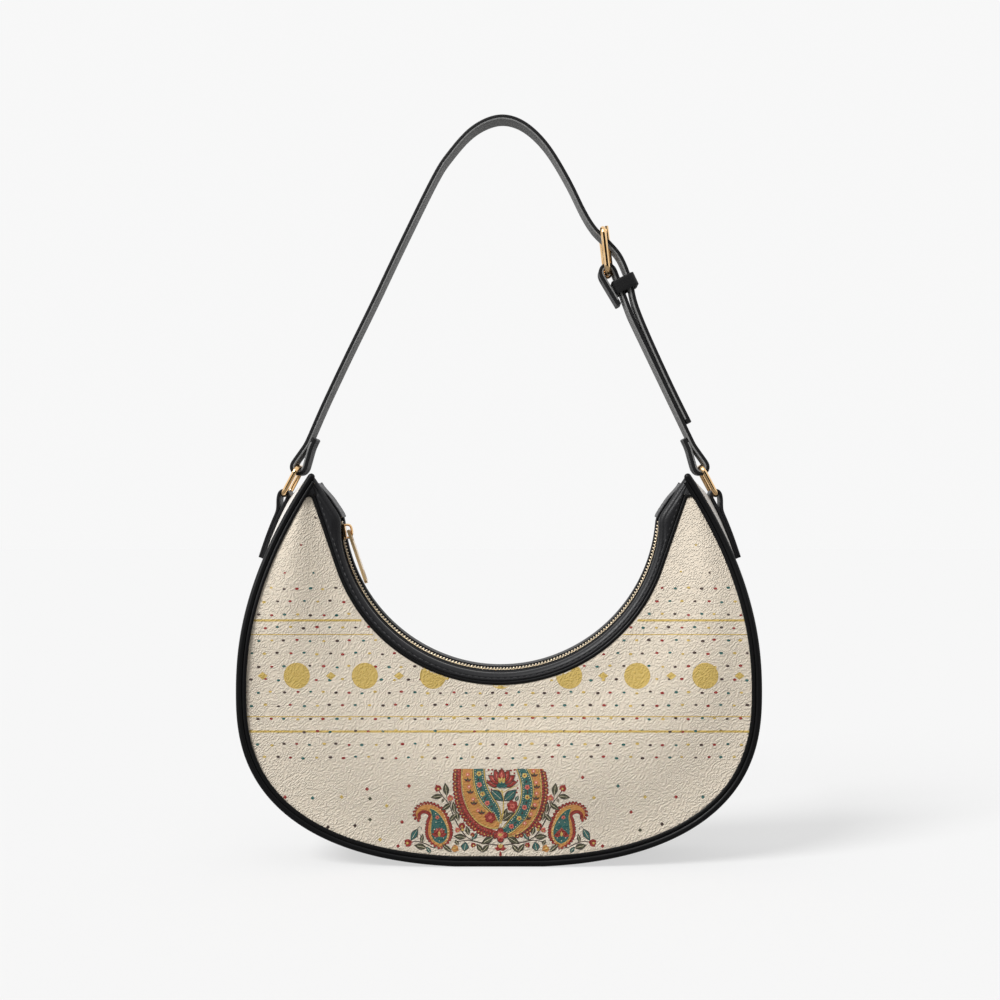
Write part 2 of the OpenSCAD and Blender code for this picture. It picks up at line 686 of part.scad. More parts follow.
// Keeper: a leather band round the tail and the short strap's outer layer
keeper_t = 1.5;
keeper_from = 6.6;
keeper_room = 0.4;
keeper_outer = tail_side + (tail_shares[0].y + 0.5) * strap_t + 3 * seat_gap;
module strap_keeper() {
    place = heel - right_dir * keeper_from;
    inner = keeper_outer - keeper_t / 2;
    color(black_leather) translate([place.x, 0, place.y]) rotate([0, 180 - strap_lean, 0]) difference() {
        translate([-keeper_t / 2 - inner - keeper_t, -strap_w / 2 - keeper_room - keeper_t, 0])
            cube([inner + 2 * keeper_t, strap_w + 2 * (keeper_room + keeper_t), keeper_l]);
        translate([-keeper_t / 2 - inner, -strap_w / 2 - keeper_room, -overrun])
            cube([inner, strap_w + 2 * keeper_room, keeper_l + 2 * overrun]);
    }
}

front_panel();
back_panel();
gusset();
front_piping();
back_piping();
front_mouth_facing();
back_mouth_facing();
front_mouth_piping();
back_mouth_piping();
front_zip_tape();
back_zip_tape();
front_zip_teeth();
back_zip_teeth();
zip_stops();
left_zip_end_tab();
right_zip_end_tab();
front_lining();
back_lining();
gusset_lining();
base_stiffener();
left_ring_tab();
right_ring_tab();
left_ring();
right_ring();
zip_slider_body();
zip_slider_crown();
zip_puller();
long_strap();
short_strap();
buckle_frame();
buckle_tongue();
strap_keeper();
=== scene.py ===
# Half moon shoulder bag: leather, zip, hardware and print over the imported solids
import math
import random

import bmesh
import bpy
from mathutils import Matrix, Vector, noise
from mathutils.bvhtree import BVHTree


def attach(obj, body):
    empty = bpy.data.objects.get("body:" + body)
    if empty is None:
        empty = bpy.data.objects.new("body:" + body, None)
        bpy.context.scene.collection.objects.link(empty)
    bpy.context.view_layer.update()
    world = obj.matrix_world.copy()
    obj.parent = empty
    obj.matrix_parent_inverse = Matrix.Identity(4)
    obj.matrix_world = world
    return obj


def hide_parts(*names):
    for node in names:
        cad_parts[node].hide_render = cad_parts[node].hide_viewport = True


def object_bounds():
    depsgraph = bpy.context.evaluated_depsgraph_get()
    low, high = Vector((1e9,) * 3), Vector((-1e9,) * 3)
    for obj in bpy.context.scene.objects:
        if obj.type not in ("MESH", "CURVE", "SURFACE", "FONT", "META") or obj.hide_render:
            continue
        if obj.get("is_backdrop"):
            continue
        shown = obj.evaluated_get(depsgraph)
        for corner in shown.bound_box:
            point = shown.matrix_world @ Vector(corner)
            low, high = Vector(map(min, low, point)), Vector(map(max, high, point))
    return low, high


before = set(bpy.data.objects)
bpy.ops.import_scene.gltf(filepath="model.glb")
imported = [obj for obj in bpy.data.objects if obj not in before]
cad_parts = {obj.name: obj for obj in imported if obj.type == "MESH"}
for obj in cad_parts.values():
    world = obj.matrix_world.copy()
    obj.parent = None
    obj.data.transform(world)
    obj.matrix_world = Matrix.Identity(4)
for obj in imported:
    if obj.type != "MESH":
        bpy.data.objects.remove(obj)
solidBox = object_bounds()
scene = bpy.context.scene
print("solids loaded:", len(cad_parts))

mm = 0.001  # shapes are drawn in millimetres, the scene is in metres

# Camera: its place in metres, its lens and sensor in millimetres
viewpoint = {"place": (0.020, -0.960, 0.220), "lens": 55.8, "sensor": 36, "shiftX": -0.0323}

cameraData = bpy.data.cameras.new("photoCamera")
cameraData.lens = viewpoint["lens"]
cameraData.sensor_width = viewpoint["sensor"]
cameraData.shift_x = viewpoint["shiftX"]
camera = bpy.data.objects.new("photoCamera", cameraData)
camera.location = viewpoint["place"]
camera.rotation_euler = (math.pi / 2, 0, 0)
scene.collection.objects.link(camera)
scene.camera = camera


# Shader helpers
def seen(red, green, blue):
    # a colour as a screen shows it, in the shader's own scale
    levels = [level / 255 for level in (red, green, blue)]
    return tuple(((c + 0.055) / 1.055) ** 2.4 if c > 0.0393 else c / 12.92 for c in levels)


def grey(level):
    return (level, level, level, 1)


def addNode(tree, kind, inputs=None, **settings):
    made = tree.nodes.new(kind)
    for key, value in settings.items():
        setattr(made, key, value)
    for key, value in (inputs or {}).items():
        made.inputs[key].default_value = value
    return made


def newMaterial(name, color, rough, metallic=0.0):
    made = bpy.data.materials.new(name)
    made.use_nodes = True
    shader = made.node_tree.nodes["Principled BSDF"]
    shader.inputs["Base Color"].default_value = (*color, 1)
    shader.inputs["Roughness"].default_value = rough
    shader.inputs["Metallic"].default_value = metallic
    return made, made.node_tree, shader


def objectCoords(tree, tilt=0.0, scale=(1, 1, 1)):
    # turned first, then stretched, so that the grain can lean
    coords = addNode(tree, "ShaderNodeTexCoord")
    turned = addNode(tree, "ShaderNodeMapping", {"Rotation": (0, math.radians(tilt), 0)})
    scaled = addNode(tree, "ShaderNodeMapping", {"Scale": scale})
    tree.links.new(coords.outputs["Object"], turned.inputs[0])
    tree.links.new(turned.outputs[0], scaled.inputs[0])
    return scaled.outputs[0]


def addBump(tree, shader, height, strength, depth):
    bump = addNode(tree, "ShaderNodeBump", {"Strength": strength, "Distance": depth * mm})
    tree.links.new(height, bump.inputs["Height"])
    tree.links.new(bump.outputs[0], shader.inputs["Normal"])


def mixed(tree, low, high, share):
    # the low colour where the share is 0, the high one where it is 1
    mix = addNode(tree, "ShaderNodeMix", data_type="RGBA")
    mix.inputs["A"].default_value = (*low, 1)
    mix.inputs["B"].default_value = (*high, 1)
    tree.links.new(share, mix.inputs["Factor"])
    return mix.outputs["Result"]


def spread(tree, value, ends, **settings):
    span = addNode(tree, "ShaderNodeMapRange", ends, **settings)
    tree.links.new(value, span.inputs["Value"])
    return span.outputs[0]


# Light and floor
studio = {
    "background": 0.935, "horizonLight": 0.34, "zenithLight": 0.78, "zenithFrom": 0.8,
    "sunStrength": 3.05, "sunFrom": (-0.72, -0.70, 0.92), "sunAngle": 24,
    "floorSize": 6, "floorDown": 0.0002, "floorColor": 0.29, "floorGlow": 0.58,
}

scene.view_settings.view_transform = "Standard"
world = bpy.data.worlds.new("studioWorld")
scene.world = world
world.use_nodes = True
sky = world.node_tree
sky.nodes.clear()
skyOut = addNode(sky, "ShaderNodeOutputWorld")
skyMix = addNode(sky, "ShaderNodeMixShader")
backdrop = addNode(sky, "ShaderNodeBackground", {"Color": grey(1), "Strength": studio["background"]})
skyLight = addNode(sky, "ShaderNodeBackground")
skyRay = addNode(sky, "ShaderNodeLightPath")
mirrored = addNode(sky, "ShaderNodeMath", operation="MAXIMUM")
shown = addNode(sky, "ShaderNodeMath", operation="MAXIMUM")
skyCoords = addNode(sky, "ShaderNodeTexCoord")
skyHeight = addNode(sky, "ShaderNodeSeparateXYZ")
skyEnds = {
    "From Max": studio["zenithFrom"], "To Min": studio["horizonLight"], "To Max": studio["zenithLight"],
}
sky.links.new(skyCoords.outputs["Generated"], skyHeight.inputs[0])
sky.links.new(spread(sky, skyHeight.outputs["Z"], skyEnds), skyLight.inputs["Strength"])
sky.links.new(skyRay.outputs["Is Glossy Ray"], mirrored.inputs[0])
sky.links.new(skyRay.outputs["Is Transmission Ray"], mirrored.inputs[1])
sky.links.new(skyRay.outputs["Is Camera Ray"], shown.inputs[0])
sky.links.new(mirrored.outputs[0], shown.inputs[1])
sky.links.new(shown.outputs[0], skyMix.inputs[0])
sky.links.new(skyLight.outputs[0], skyMix.inputs[1])
sky.links.new(backdrop.outputs[0], skyMix.inputs[2])
sky.links.new(skyMix.outputs[0], skyOut.inputs["Surface"])

sunData = bpy.data.lights.new("keySun", "SUN")
sunData.energy = studio["sunStrength"]
sunData.angle = math.radians(studio["sunAngle"])
sun = bpy.data.objects.new("keySun", sunData)
sun.rotation_euler = Vector(studio["sunFrom"]).to_track_quat("Z", "Y").to_euler()
scene.collection.objects.link(sun)


def stageSheet(name, size, material):
    # a flat sheet of the studio; size is half its side
    sheet = bmesh.new()
    bmesh.ops.create_grid(sheet, x_segments=1, y_segments=1, size=size)
    data = bpy.data.meshes.new(name)
    sheet.to_mesh(data)
    sheet.free()
    data.materials.append(material)
    made = bpy.data.objects.new(name, data)
    scene.collection.objects.link(made)
    return made


floorMat = bpy.data.materials.new("paleFloor")
floorMat.use_nodes = True
ground = floorMat.node_tree
ground.nodes.clear()
groundOut = addNode(ground, "ShaderNodeOutputMaterial")
groundSum = addNode(ground, "ShaderNodeAddShader")
groundDiffuse = addNode(ground, "ShaderNodeBsdfDiffuse", {"Color": grey(studio["floorColor"])})
groundGlow = addNode(ground, "ShaderNodeEmission")
groundRay = addNode(ground, "ShaderNodeLightPath")
glowShown = addNode(ground, "ShaderNodeMath", {1: studio["floorGlow"]}, operation="MULTIPLY")
ground.links.new(groundRay.outputs["Is Camera Ray"], glowShown.inputs[0])
ground.links.new(glowShown.outputs[0], groundGlow.inputs["Strength"])
ground.links.new(groundDiffuse.outputs[0], groundSum.inputs[0])
ground.links.new(groundGlow.outputs[0], groundSum.inputs[1])
ground.links.new(groundSum.outputs[0], groundOut.inputs["Surface"])
floor = stageSheet("floor", studio["floorSize"], floorMat)
floor.location = (0, 0, -studio["floorDown"])
floor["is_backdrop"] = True

# A dark card behind the camera, which only reflections see
darkCard = {"width": 2.9, "height": 2.0, "place": (0.15, -1.7, 0.33), "color": 0.01}
cardMat = newMaterial("darkCardFelt", [darkCard["color"]] * 3, 1.0)[0]
card = stageSheet("darkCard", 0.5, cardMat)
card.location = darkCard["place"]
card.rotation_euler = (math.pi / 2, 0, 0)
card.scale = (darkCard["width"], darkCard["height"], 1)
card.visible_camera = False
card.visible_diffuse = False
card.visible_shadow = False
card.visible_transmission = False
card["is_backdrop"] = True
print("camera, light and floor set")

# Materials. What all leathers share: scales of their noises, in grains, and how the gloss changes
hide = {
    "wobbleScale": 0.7, "round": 0.12, "domeTop": 0.08, "fineScale": 3.1, "fineRough": 0.6,
    "driftScale": 0.06, "mottle": 0.05, "creaseRough": 0.12, "domeSmooth": 0.03,
}


def leather(name, color, creaseShade, grain, rough=0.5):
    made, tree, shader = newMaterial(name, color, rough)
    link = tree.links.new
    size = grain["size"] * mm
    coords = objectCoords(tree, grain["tilt"], (1 / (size * grain["stretch"]), 1 / size, 1 / size))
    wobble = addNode(tree, "ShaderNodeTexNoise", {"Scale": hide["wobbleScale"], "Detail": 2.0})
    shifted = addNode(tree, "ShaderNodeVectorMath", {1: (grain["wobble"],) * 3}, operation="MULTIPLY_ADD")
    link(coords, wobble.inputs["Vector"])
    link(wobble.outputs["Color"], shifted.inputs[0])
    link(coords, shifted.inputs[2])
    cellShape = {"Scale": 1.0, "Randomness": 1.0, "Smoothness": hide["round"]}
    cells = addNode(tree, "ShaderNodeTexVoronoi", cellShape, feature="SMOOTH_F1")
    link(shifted.outputs[0], cells.inputs["Vector"])
    dome = {"From Min": hide["domeTop"], "From Max": grain["groove"], "To Min": 1.0, "To Max": 0.0}
    pebble = spread(tree, cells.outputs["Distance"], dome, interpolation_type="SMOOTHSTEP")
    fineShape = {"Scale": hide["fineScale"], "Detail": 3.0, "Roughness": hide["fineRough"]}
    fine = addNode(tree, "ShaderNodeTexNoise", fineShape)
    link(coords, fine.inputs["Vector"])
    high = addNode(tree, "ShaderNodeMath", {1: grain["fine"]}, operation="MULTIPLY_ADD")
    link(fine.outputs["Fac"], high.inputs[0])
    link(pebble, high.inputs[2])
    addBump(tree, shader, high.outputs[0], grain["strength"], grain["depth"])
    # colour: painted shade darkens the creases between the pebbles, with a slow drift over the hide
    wide = addNode(tree, "ShaderNodeTexNoise", {"Scale": hide["driftScale"], "Detail": 2.0})
    link(coords, wide.inputs["Vector"])
    shade = addNode(tree, "ShaderNodeVectorMath", operation="SCALE")
    link(mixed(tree, creaseShade, color, pebble), shade.inputs[0])
    drift = {"To Min": 1 - hide["mottle"], "To Max": 1 + hide["mottle"]}
    link(spread(tree, wide.outputs["Fac"], drift), shade.inputs["Scale"])
    link(shade.outputs[0], shader.inputs["Base Color"])
    gloss = {"To Min": rough + hide["creaseRough"], "To Max": rough - hide["domeSmooth"]}
    link(spread(tree, pebble, gloss), shader.inputs["Roughness"])
    shader.inputs["Specular IOR Level"].default_value = grain["shine"]
    return made


# the weave's colour follows its bump: darker in the hollows and lighter on the raised threads, a painted
# shade and painted highlight
weaveShape = {
    "across": 0.6, "along": 0.8, "strength": 0.6, "depth": 0.2, "dark": 0.6, "light": 1.25, "shine": 0.2,
}


def cloth(name, color, thread, rough=0.85, sheen=0.0):
    # thread is one thread's width in millimetres; the wave texture has a ridge each pi / 10 at scale 1
    made, tree, shader = newMaterial(name, color, rough)
    link = tree.links.new
    coords = objectCoords(tree)
    waves = []
    for way, bend in (("Y", weaveShape["across"]), ("DIAGONAL", weaveShape["along"])):
        scale = math.pi / (thread * mm) / 20
        wave = addNode(tree, "ShaderNodeTexWave", {"Scale": scale, "Distortion": bend}, bands_direction=way)
        link(coords, wave.inputs["Vector"])
        waves.append(wave)
    weave = addNode(tree, "ShaderNodeMath", operation="MULTIPLY")
    link(waves[0].outputs["Fac"], weave.inputs[0])
    link(waves[1].outputs["Fac"], weave.inputs[1])
    addBump(tree, shader, weave.outputs[0], weaveShape["strength"], weaveShape["depth"])
    # painted shade in the weave's hollows, painted highlight on its raised threads
    dark, light = [[c * weaveShape[key] for c in color] for key in ("dark", "light")]
    link(mixed(tree, dark, light, weave.outputs[0]), shader.inputs["Base Color"])
    shader.inputs["Sheen Weight"].default_value = sheen
    shader.inputs["Specular IOR Level"].default_value = weaveShape["shine"]
    return made


plating = {
    "cloud": 400, "cloudScale": 0.8, "deepTo": 0.3, "plainFrom": 0.6, "smooth": 0.7, "dull": 1.4,
    "strength": 0.05, "depth": 0.1,
}


def metal(name, color, deep, rough, metallic=1.0):
    made, tree, shader = newMaterial(name, color, rough, metallic)
    link = tree.links.new
    coords = objectCoords(tree, 0, (plating["cloud"],) * 3)
    cloud = addNode(tree, "ShaderNodeTexNoise", {"Scale": plating["cloudScale"], "Detail": 4.0})
    link(coords, cloud.inputs["Vector"])
    ends = {"From Min": plating["deepTo"], "From Max": plating["plainFrom"]}
    plain = spread(tree, cloud.outputs["Fac"], ends)
    link(mixed(tree, deep, color, plain), shader.inputs["Base Color"])
    gloss = {"To Min": rough * plating["smooth"], "To Max": rough * plating["dull"]}
    link(spread(tree, cloud.outputs["Fac"], gloss), shader.inputs["Roughness"])
    addBump(tree, shader, cloud.outputs["Fac"], plating["strength"], plating["depth"])
    return made


# Grains: size and depth in millimetres, tilt in degrees, the rest as shares of a grain
pebbled = {
    "size": 0.9, "stretch": 1.6, "tilt": 48, "wobble": 0.2, "groove": 0.72,
    "fine": 0.12, "strength": 1.0, "depth": 0.56, "shine": 0.35,
}
smoothHide = {
    "size": 0.8, "stretch": 1.1, "tilt": 20, "wobble": 0.3, "groove": 0.75,
    "fine": 0.5, "strength": 0.25, "depth": 0.12, "shine": 0.4,
}
blackHide = {
    "size": 0.75, "stretch": 1.25, "tilt": 30, "wobble": 0.3, "groove": 0.75,
    "fine": 0.4, "strength": 0.25, "depth": 0.1, "shine": 0.3,
}
cordHide = {**blackHide, "shine": 0.17}
inkedHide = {**pebbled, "depth": 0.42, "shine": 0.22}
# the second colour of each leather is its crease shade: painted shade laid into the creases of its grain
cream, creamCreaseShade = seen(237, 226, 208), seen(222, 209, 190)
creamLeather = leather("creamLeather", cream, creamCreaseShade, pebbled, 0.52)
paleLeather = leather("paleLeather", seen(235, 231, 226), seen(222, 217, 211), smoothHide, 0.42)
trimLeather = leather("trimLeather", seen(34, 34, 36), seen(22, 22, 24), blackHide, 0.36)
pipingLeather = leather("pipingLeather", seen(18, 18, 19), seen(12, 12, 13), cordHide, 0.34)
strapLeather = leather("strapLeather", seen(30, 30, 31), seen(18, 18, 19), blackHide, 0.4)
strapBacking = leather("strapBacking", seen(142, 142, 141), seen(116, 116, 115), smoothHide, 0.5)
# the thread is black, but drawn dark grey: the lighter grey is a painted highlight on the stitches
litBlackThread = cloth("litBlackThread", (0.075, 0.075, 0.077), 0.3, 0.5)
tapeCloth = cloth("tapeCloth", (0.012, 0.012, 0.013), 0.5)
liningCloth = cloth("liningCloth", (0.03, 0.03, 0.034), 0.4, 0.85, 0.15)
boardFibre = cloth("boardFibre", (0.28, 0.25, 0.21), 0.9)
inks = {
    "gold": (203, 173, 92), "ochre": (196, 136, 68), "teal": (26, 92, 88), "red": (146, 34, 30),
    "pink": (204, 104, 90), "brown": (58, 40, 36), "olive": (62, 66, 44), "cream": (232, 216, 184),
}
inkCover = 0.93  # how much of the ink's colour stays in the creases; the rest is the cream's crease colour showing through, which carries painted shade
printInks = {}
for ink, color in inks.items():
    inkCreaseAndShade = [inkCover * c + (1 - inkCover) * below for c, below in zip(seen(*color), creamCreaseShade)]
    printInks[ink] = leather("print" + ink.capitalize(), seen(*color), inkCreaseAndShade, inkedHide, 0.5)
goldMetal = metal("goldMetal", (0.96, 0.66, 0.35), (0.86, 0.54, 0.25), 0.1)
# the puller's gold is a brighter, less metallic copy of the gold: painted light, so its side towards the
# camera looks lit
litPullerGold = metal("litPullerGold", (1.0, 0.72, 0.38), (0.96, 0.64, 0.30), 0.16, 0.4)
# the teeth's gold is paler and less metallic than the slider's: painted light, so the teeth show bright
# against the dark gaps
litToothMetal = metal("litToothMetal", (1.0, 0.86, 0.64), (0.92, 0.76, 0.52), 0.3, 0.6)
print("materials made:", len(bpy.data.materials))


# Mesh helpers. A side is 1 at the front and -1 at the back
depthWay = Vector((0, 1, 0))
bothSides = ((1, "front"), (-1, "back"))


def skin(bm, rings):
    # a grid whose columns are closed rings; its seam is welded
    count, cols = len(rings[0]), len(rings) - 1
    made = bmesh.ops.create_grid(bm, x_segments=cols, y_segments=count, size=0.5)["verts"]
    for k, v in enumerate(made):
        v.co = Vector(rings[k % (cols + 1)][(k // (cols + 1)) % count]) * mm
    bmesh.ops.remove_doubles(bm, verts=made, dist=1e-7)


def middle(ring):
    return sum((Vector(p) for p in ring), Vector()) / len(ring)


def capped(rings):
    first, last = [[middle(ring)] * len(ring) for ring in (rings[0], rings[-1])]
    return [first] + rings + [last]


def roundSection(radius, count):
    turns = [2 * math.pi * i / count for i in range(count)]
    return [(radius * math.cos(a), radius * math.sin(a)) for a in turns]


# A rounded rectangle's corners: their side in both ways, and where their quarter turn starts
corners = ((1, -1, -90), (1, 1, 0), (-1, 1, 90), (-1, -1, 180))


def stripSection(thick, width, edge, flats=6, turns=4):
    # a rounded rectangle: first number across the thickness, second along the width
    points = []
    deep, wide = thick / 2 - edge, width / 2 - edge
    for sx, sy, start in corners:
        for k in range(turns + 1):
            a = math.radians(start + 90 * k / turns)
            points.append((sx * deep + edge * math.cos(a), sy * wide + edge * math.sin(a)))
        if sy * sx < 0:
            points += [(sx * thick / 2, sy * wide * (1 - 2 * k / flats)) for k in range(1, flats)]
    return points


tipShrink = 0.72  # the size of a rounded end's last ring


def sweep(bm, stations, section, loop=False, taper=0.0):
    # stations are (place, first axis, second axis); taper rounds both ends over that length
    rings = [[place + a * s[0] + b * s[1] for s in section] for place, a, b in stations]
    if loop:
        skin(bm, rings + [rings[0]])
        return
    if taper:
        for at, beside in ((0, 1), (-1, -2)):
            heart = middle(rings[at])
            away = (heart - middle(rings[beside])).normalized()
            tip = [heart + (p - heart) * tipShrink + away * taper for p in rings[at]]
            rings = [tip] + rings if at == 0 else rings + [tip]
    skin(bm, capped(rings))


def upright(p, y=0.0):
    # a point of the bag's front view, in space
    return Vector((p.x, y, p.y))


def runAt(points, k):
    return (points[min(len(points) - 1, k + 1)] - points[max(0, k - 1)]).normalized()


def alongPlane(points, lift=0.0):
    # stations of a path in the upright plane: first axis out of the path, second along the depth
    made = []
    for k, p in enumerate(points):
        run = runAt(points, k)
        out = Vector((run.y, 0, -run.x))
        made.append((upright(p) + out * lift, out, depthWay))
    return made


def addPiece(name, bm, materials, body="bag", stands=(), sharp=42, turn=True):
    if turn:
        bmesh.ops.recalc_face_normals(bm, faces=bm.faces)
    for face in bm.faces:
        face.smooth = True
    for edge in bm.edges:
        if len(edge.link_faces) == 2 and edge.calc_face_angle() > math.radians(sharp):
            edge.smooth = False
    mesh = bpy.data.meshes.new(name)
    bm.to_mesh(mesh)
    bm.free()
    for material in materials:
        mesh.materials.append(material)
    piece = bpy.data.objects.new(name, mesh)
    scene.collection.objects.link(piece)
    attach(piece, body)
    if stands:
        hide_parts(*stands)
    print(name, len(mesh.polygons))
    return piece


def keepSolid(name, material, bevel, segments=3):
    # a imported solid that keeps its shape: welded, with its edges rounded
    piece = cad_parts[name]
    piece.data.materials.clear()
    piece.data.materials.append(material)
    weld = piece.modifiers.new("weld", "WELD")
    weld.merge_threshold = 1e-6
    rounding = piece.modifiers.new("rounding", "BEVEL")
    rounding.width = bevel * mm
    rounding.segments = segments
    rounding.limit_method = "ANGLE"
    rounding.angle_limit = math.radians(32)
    rounding.harden_normals = True
    for face in piece.data.polygons:
        face.use_smooth = True


stitchStep = 0.3  # how finely a row's path is walked


def stitchRow(bm, places, normals, stitch, gap=0.9, width=0.5, sink=0.1):
    # short threads laid along a path, each half sunk in the leather
    run, wait = 0.0, 0.0
    for k in range(len(places) - 1):
        step = places[k + 1] - places[k]
        run += step.length
        if run < wait:
            continue
        wait = run + stitch + gap
        along = step.normalized()
        up = (normals[k] - along * normals[k].dot(along)).normalized()
        side = along.cross(up)
        at = (places[k] - up * sink) * mm
        turn = Matrix((along * stitch / 2, side * width / 2, up * width / 2)).transposed() * mm
        thread = Matrix.Translation(at) @ turn.to_4x4()
        bmesh.ops.create_icosphere(bm, subdivisions=1, radius=1.0, matrix=thread)


def stitchAcross(bm, place, normal, reach, stitch):
    # a row across a strap or tab, from that reach on one side to the other
    count = int(2 * reach / stitchStep) + 1
    places = [place + depthWay * (stitchStep * k - reach) for k in range(count)]
    stitchRow(bm, places, [normal] * count, stitch)


def lerp(a, b, t):
    return a + (b - a) * t


def lerps(a, b, count, first=0):
    # numbers from a to b in that many steps
    return [lerp(a, b, k / count) for k in range(first, count + 1)]


def ease(a, b, t):
    k = min(1, max(0, (t - a) / (b - a)))
    return k * k * (3 - 2 * k)


def smoothRoute(points, steps):
    # a smooth curve through all of the points
    made = []
    for i in range(len(points) - 1):
        a, b, c, d = points[max(0, i - 1)], points[i], points[i + 1], points[min(len(points) - 1, i + 2)]
        bend, twist = 2 * a - 5 * b + 4 * c - d, 3 * b - a - 3 * c + d
        for t in (j / steps for j in range(steps)):
            made.append(0.5 * (2 * b + (c - a) * t + bend * t * t + twist * t ** 3))
    return made + [points[-1]]


def evenly(points, step):
    # the same path with its points a step apart
    lengths = [(points[k + 1] - points[k]).length for k in range(len(points) - 1)]
    total = sum(lengths)
    count = max(2, round(total / step))
    made, k, passed = [], 0, 0.0
    for i in range(count + 1):
        goal = total * i / count
        while k < len(lengths) - 1 and passed + lengths[k] < goal:
            passed += lengths[k]
            k += 1
        made.append(points[k].lerp(points[k + 1], min(1, (goal - passed) / max(1e-9, lengths[k]))))
    return made


def relaxed(points, rounds):
    for _ in range(rounds):
        inner = [(points[k - 1] + points[k] * 2 + points[k + 1]) / 4 for k in range(1, len(points) - 1)]
        points = [points[0]] + inner + [points[-1]]
    return points


# The bag's curves, in millimetres: u runs along the outline and w along the mouth, from tip to tip
bag = {
    "width": 316, "height": 235, "baseDepth": 60, "tipDepth": 31, "wideAt": 105, "puff": 6,
    "sink": 0.5, "lowPower": 2.5, "sidePower": 2.08, "lowShare": 0.58,
    "gussetRest": 0.5, "gussetPull": 2.8, "pullFrom": 0.5, "pullFull": 0.9, "pullEnds": 0.88,
    "depthHold": 0.15,
    "mouthRadius": 98.6, "mouthDepth": 44, "mouthTipDepth": 27, "mouthHold": 0.2, "mouthDrop": 21.4,
    "arcHalf": math.radians(85.3), "edgeArcHalf": math.radians(70.6),
    "flareRadius": 14, "flareTurn": math.radians(29), "mouthTail": 24.7, "tipWall": 2.5,
}
mouthHeight = bag["height"] - bag["mouthDrop"]
mouthCentre = Vector((0, mouthHeight))
arcLength = bag["mouthRadius"] * bag["arcHalf"]
flareLength = bag["flareRadius"] * bag["flareTurn"]
mouthLength = arcLength + flareLength + bag["mouthTail"]


def heading(a):
    return Vector((math.cos(a), math.sin(a)))


def mouthAt(w, off):
    s, r, f = abs(w) * mouthLength, bag["mouthRadius"], bag["flareRadius"]
    lean = bag["arcHalf"] - math.pi / 2
    if s < arcLength:
        p = mouthCentre + heading(s / r - math.pi / 2) * (r + off)
    else:
        a = math.pi + lean - min(bag["flareTurn"], (s - arcLength) / f)
        run = max(0, s - arcLength - flareLength)
        p = mouthCentre + heading(lean) * (r + f) + heading(a) * (f - off) + heading(a - math.pi / 2) * run
    return Vector((-p.x, p.y)) if w < 0 else p


def edgeAt(w, off):
    # the panels' mouth edge: the same arc, and then straight on to each tip
    s, arc = abs(w) * mouthLength, bag["mouthRadius"] * bag["edgeArcHalf"]
    a = min(s, arc) / bag["mouthRadius"] - math.pi / 2
    p = mouthCentre + heading(a) * (bag["mouthRadius"] + off) + heading(a + math.pi / 2) * max(0, s - arc)
    return Vector((-p.x, p.y)) if w < 0 else p


tipHalfWidth = mouthAt(1, 0).x + bag["tipWall"]


def sideRise(u):
    return max(0, (abs(u) - bag["lowShare"]) / (1 - bag["lowShare"]))


def outlineAt(u):
    k, half = min(1, abs(u)), bag["width"] / 2
    if k < bag["lowShare"]:
        a, power = math.pi / 2 * k / bag["lowShare"], 2 / bag["lowPower"]
        x = half * math.sin(a) ** power
        z = max(0, (bag["wideAt"] + bag["sink"]) * (1 - math.cos(a) ** power) - bag["sink"])
    else:
        h = sideRise(k)
        x = half - (half - tipHalfWidth) * h ** bag["sidePower"]
        z = lerp(bag["wideAt"], bag["height"], h)
    return Vector((-x if u < 0 else x, z))


def outlineOut(u, beside=0.002):
    run = outlineAt(min(1, u + beside)) - outlineAt(max(-1, u - beside))
    return Vector((run.y, -run.x)).normalized()


def outlineOff(u, off):
    return outlineAt(u) + outlineOut(u) * off


def halfDepth(u):
    return lerp(bag["baseDepth"], bag["tipDepth"], ease(bag["depthHold"], 1, sideRise(u))) / 2


def mouthHalfDepth(w):
    return lerp(bag["mouthDepth"], bag["mouthTipDepth"], ease(bag["mouthHold"], 1, abs(w))) / 2


def gussetBulge(u):
    h = sideRise(u)
    pull = ease(bag["pullFrom"], bag["pullFull"], h) * (1 - ease(bag["pullEnds"], 1, h))
    return bag["gussetRest"] + bag["gussetPull"] * pull


def crowded(steps, share=1.0, crowd=0.25):
    # stations from tip to tip that stand closer together at the tips
    return [share * t * (1 + crowd - crowd * t * t) for t in (i / steps for i in range(-steps, steps + 1))]


# Front and back panels
panel = {
    "thick": 1.5, "edgeIn": 4.8, "mouthOff": 7.4, "tipShare": 0.97, "mouthTipShare": 0.96,
    "slack": 0.45, "slackSize": 0.016, "slackTall": 1.4, "slackSeed": 9,
    "tuck": 1.6, "edgeDip": 0.3, "mouthDip": 0.6, "cols": 120, "rows": 34,
}


def panelPoint(u, v, inset, side):
    # v runs from the outline to the mouth; past both ends the panel tucks under
    w = u / panel["tipShare"] * panel["mouthTipShare"]
    k = min(1, max(0, v))
    flat = outlineOff(u, -panel["edgeIn"]).lerp(edgeAt(w, panel["mouthOff"]), k)
    swell = bag["puff"] * math.sin(math.pi * k) ** 2 * (1 - u ** 4)
    at = Vector((flat.x, flat.y * panel["slackTall"], panel["slackSeed"] * side))
    drift = noise.noise(at * panel["slackSize"])
    y = lerp(halfDepth(u), mouthHalfDepth(w), k) + swell - inset
    y += panel["slack"] * math.sin(math.pi * k) * drift
    if v < 0:
        flat += outlineOut(u) * panel["tuck"]
        y -= panel["tuck"] * panel["edgeDip"]
    if v > 1:
        flat = edgeAt(w, panel["mouthOff"] - panel["tuck"])
        y -= panel["tuck"] * panel["mouthDip"]
    return Vector((flat.x, -side * y, flat.y))


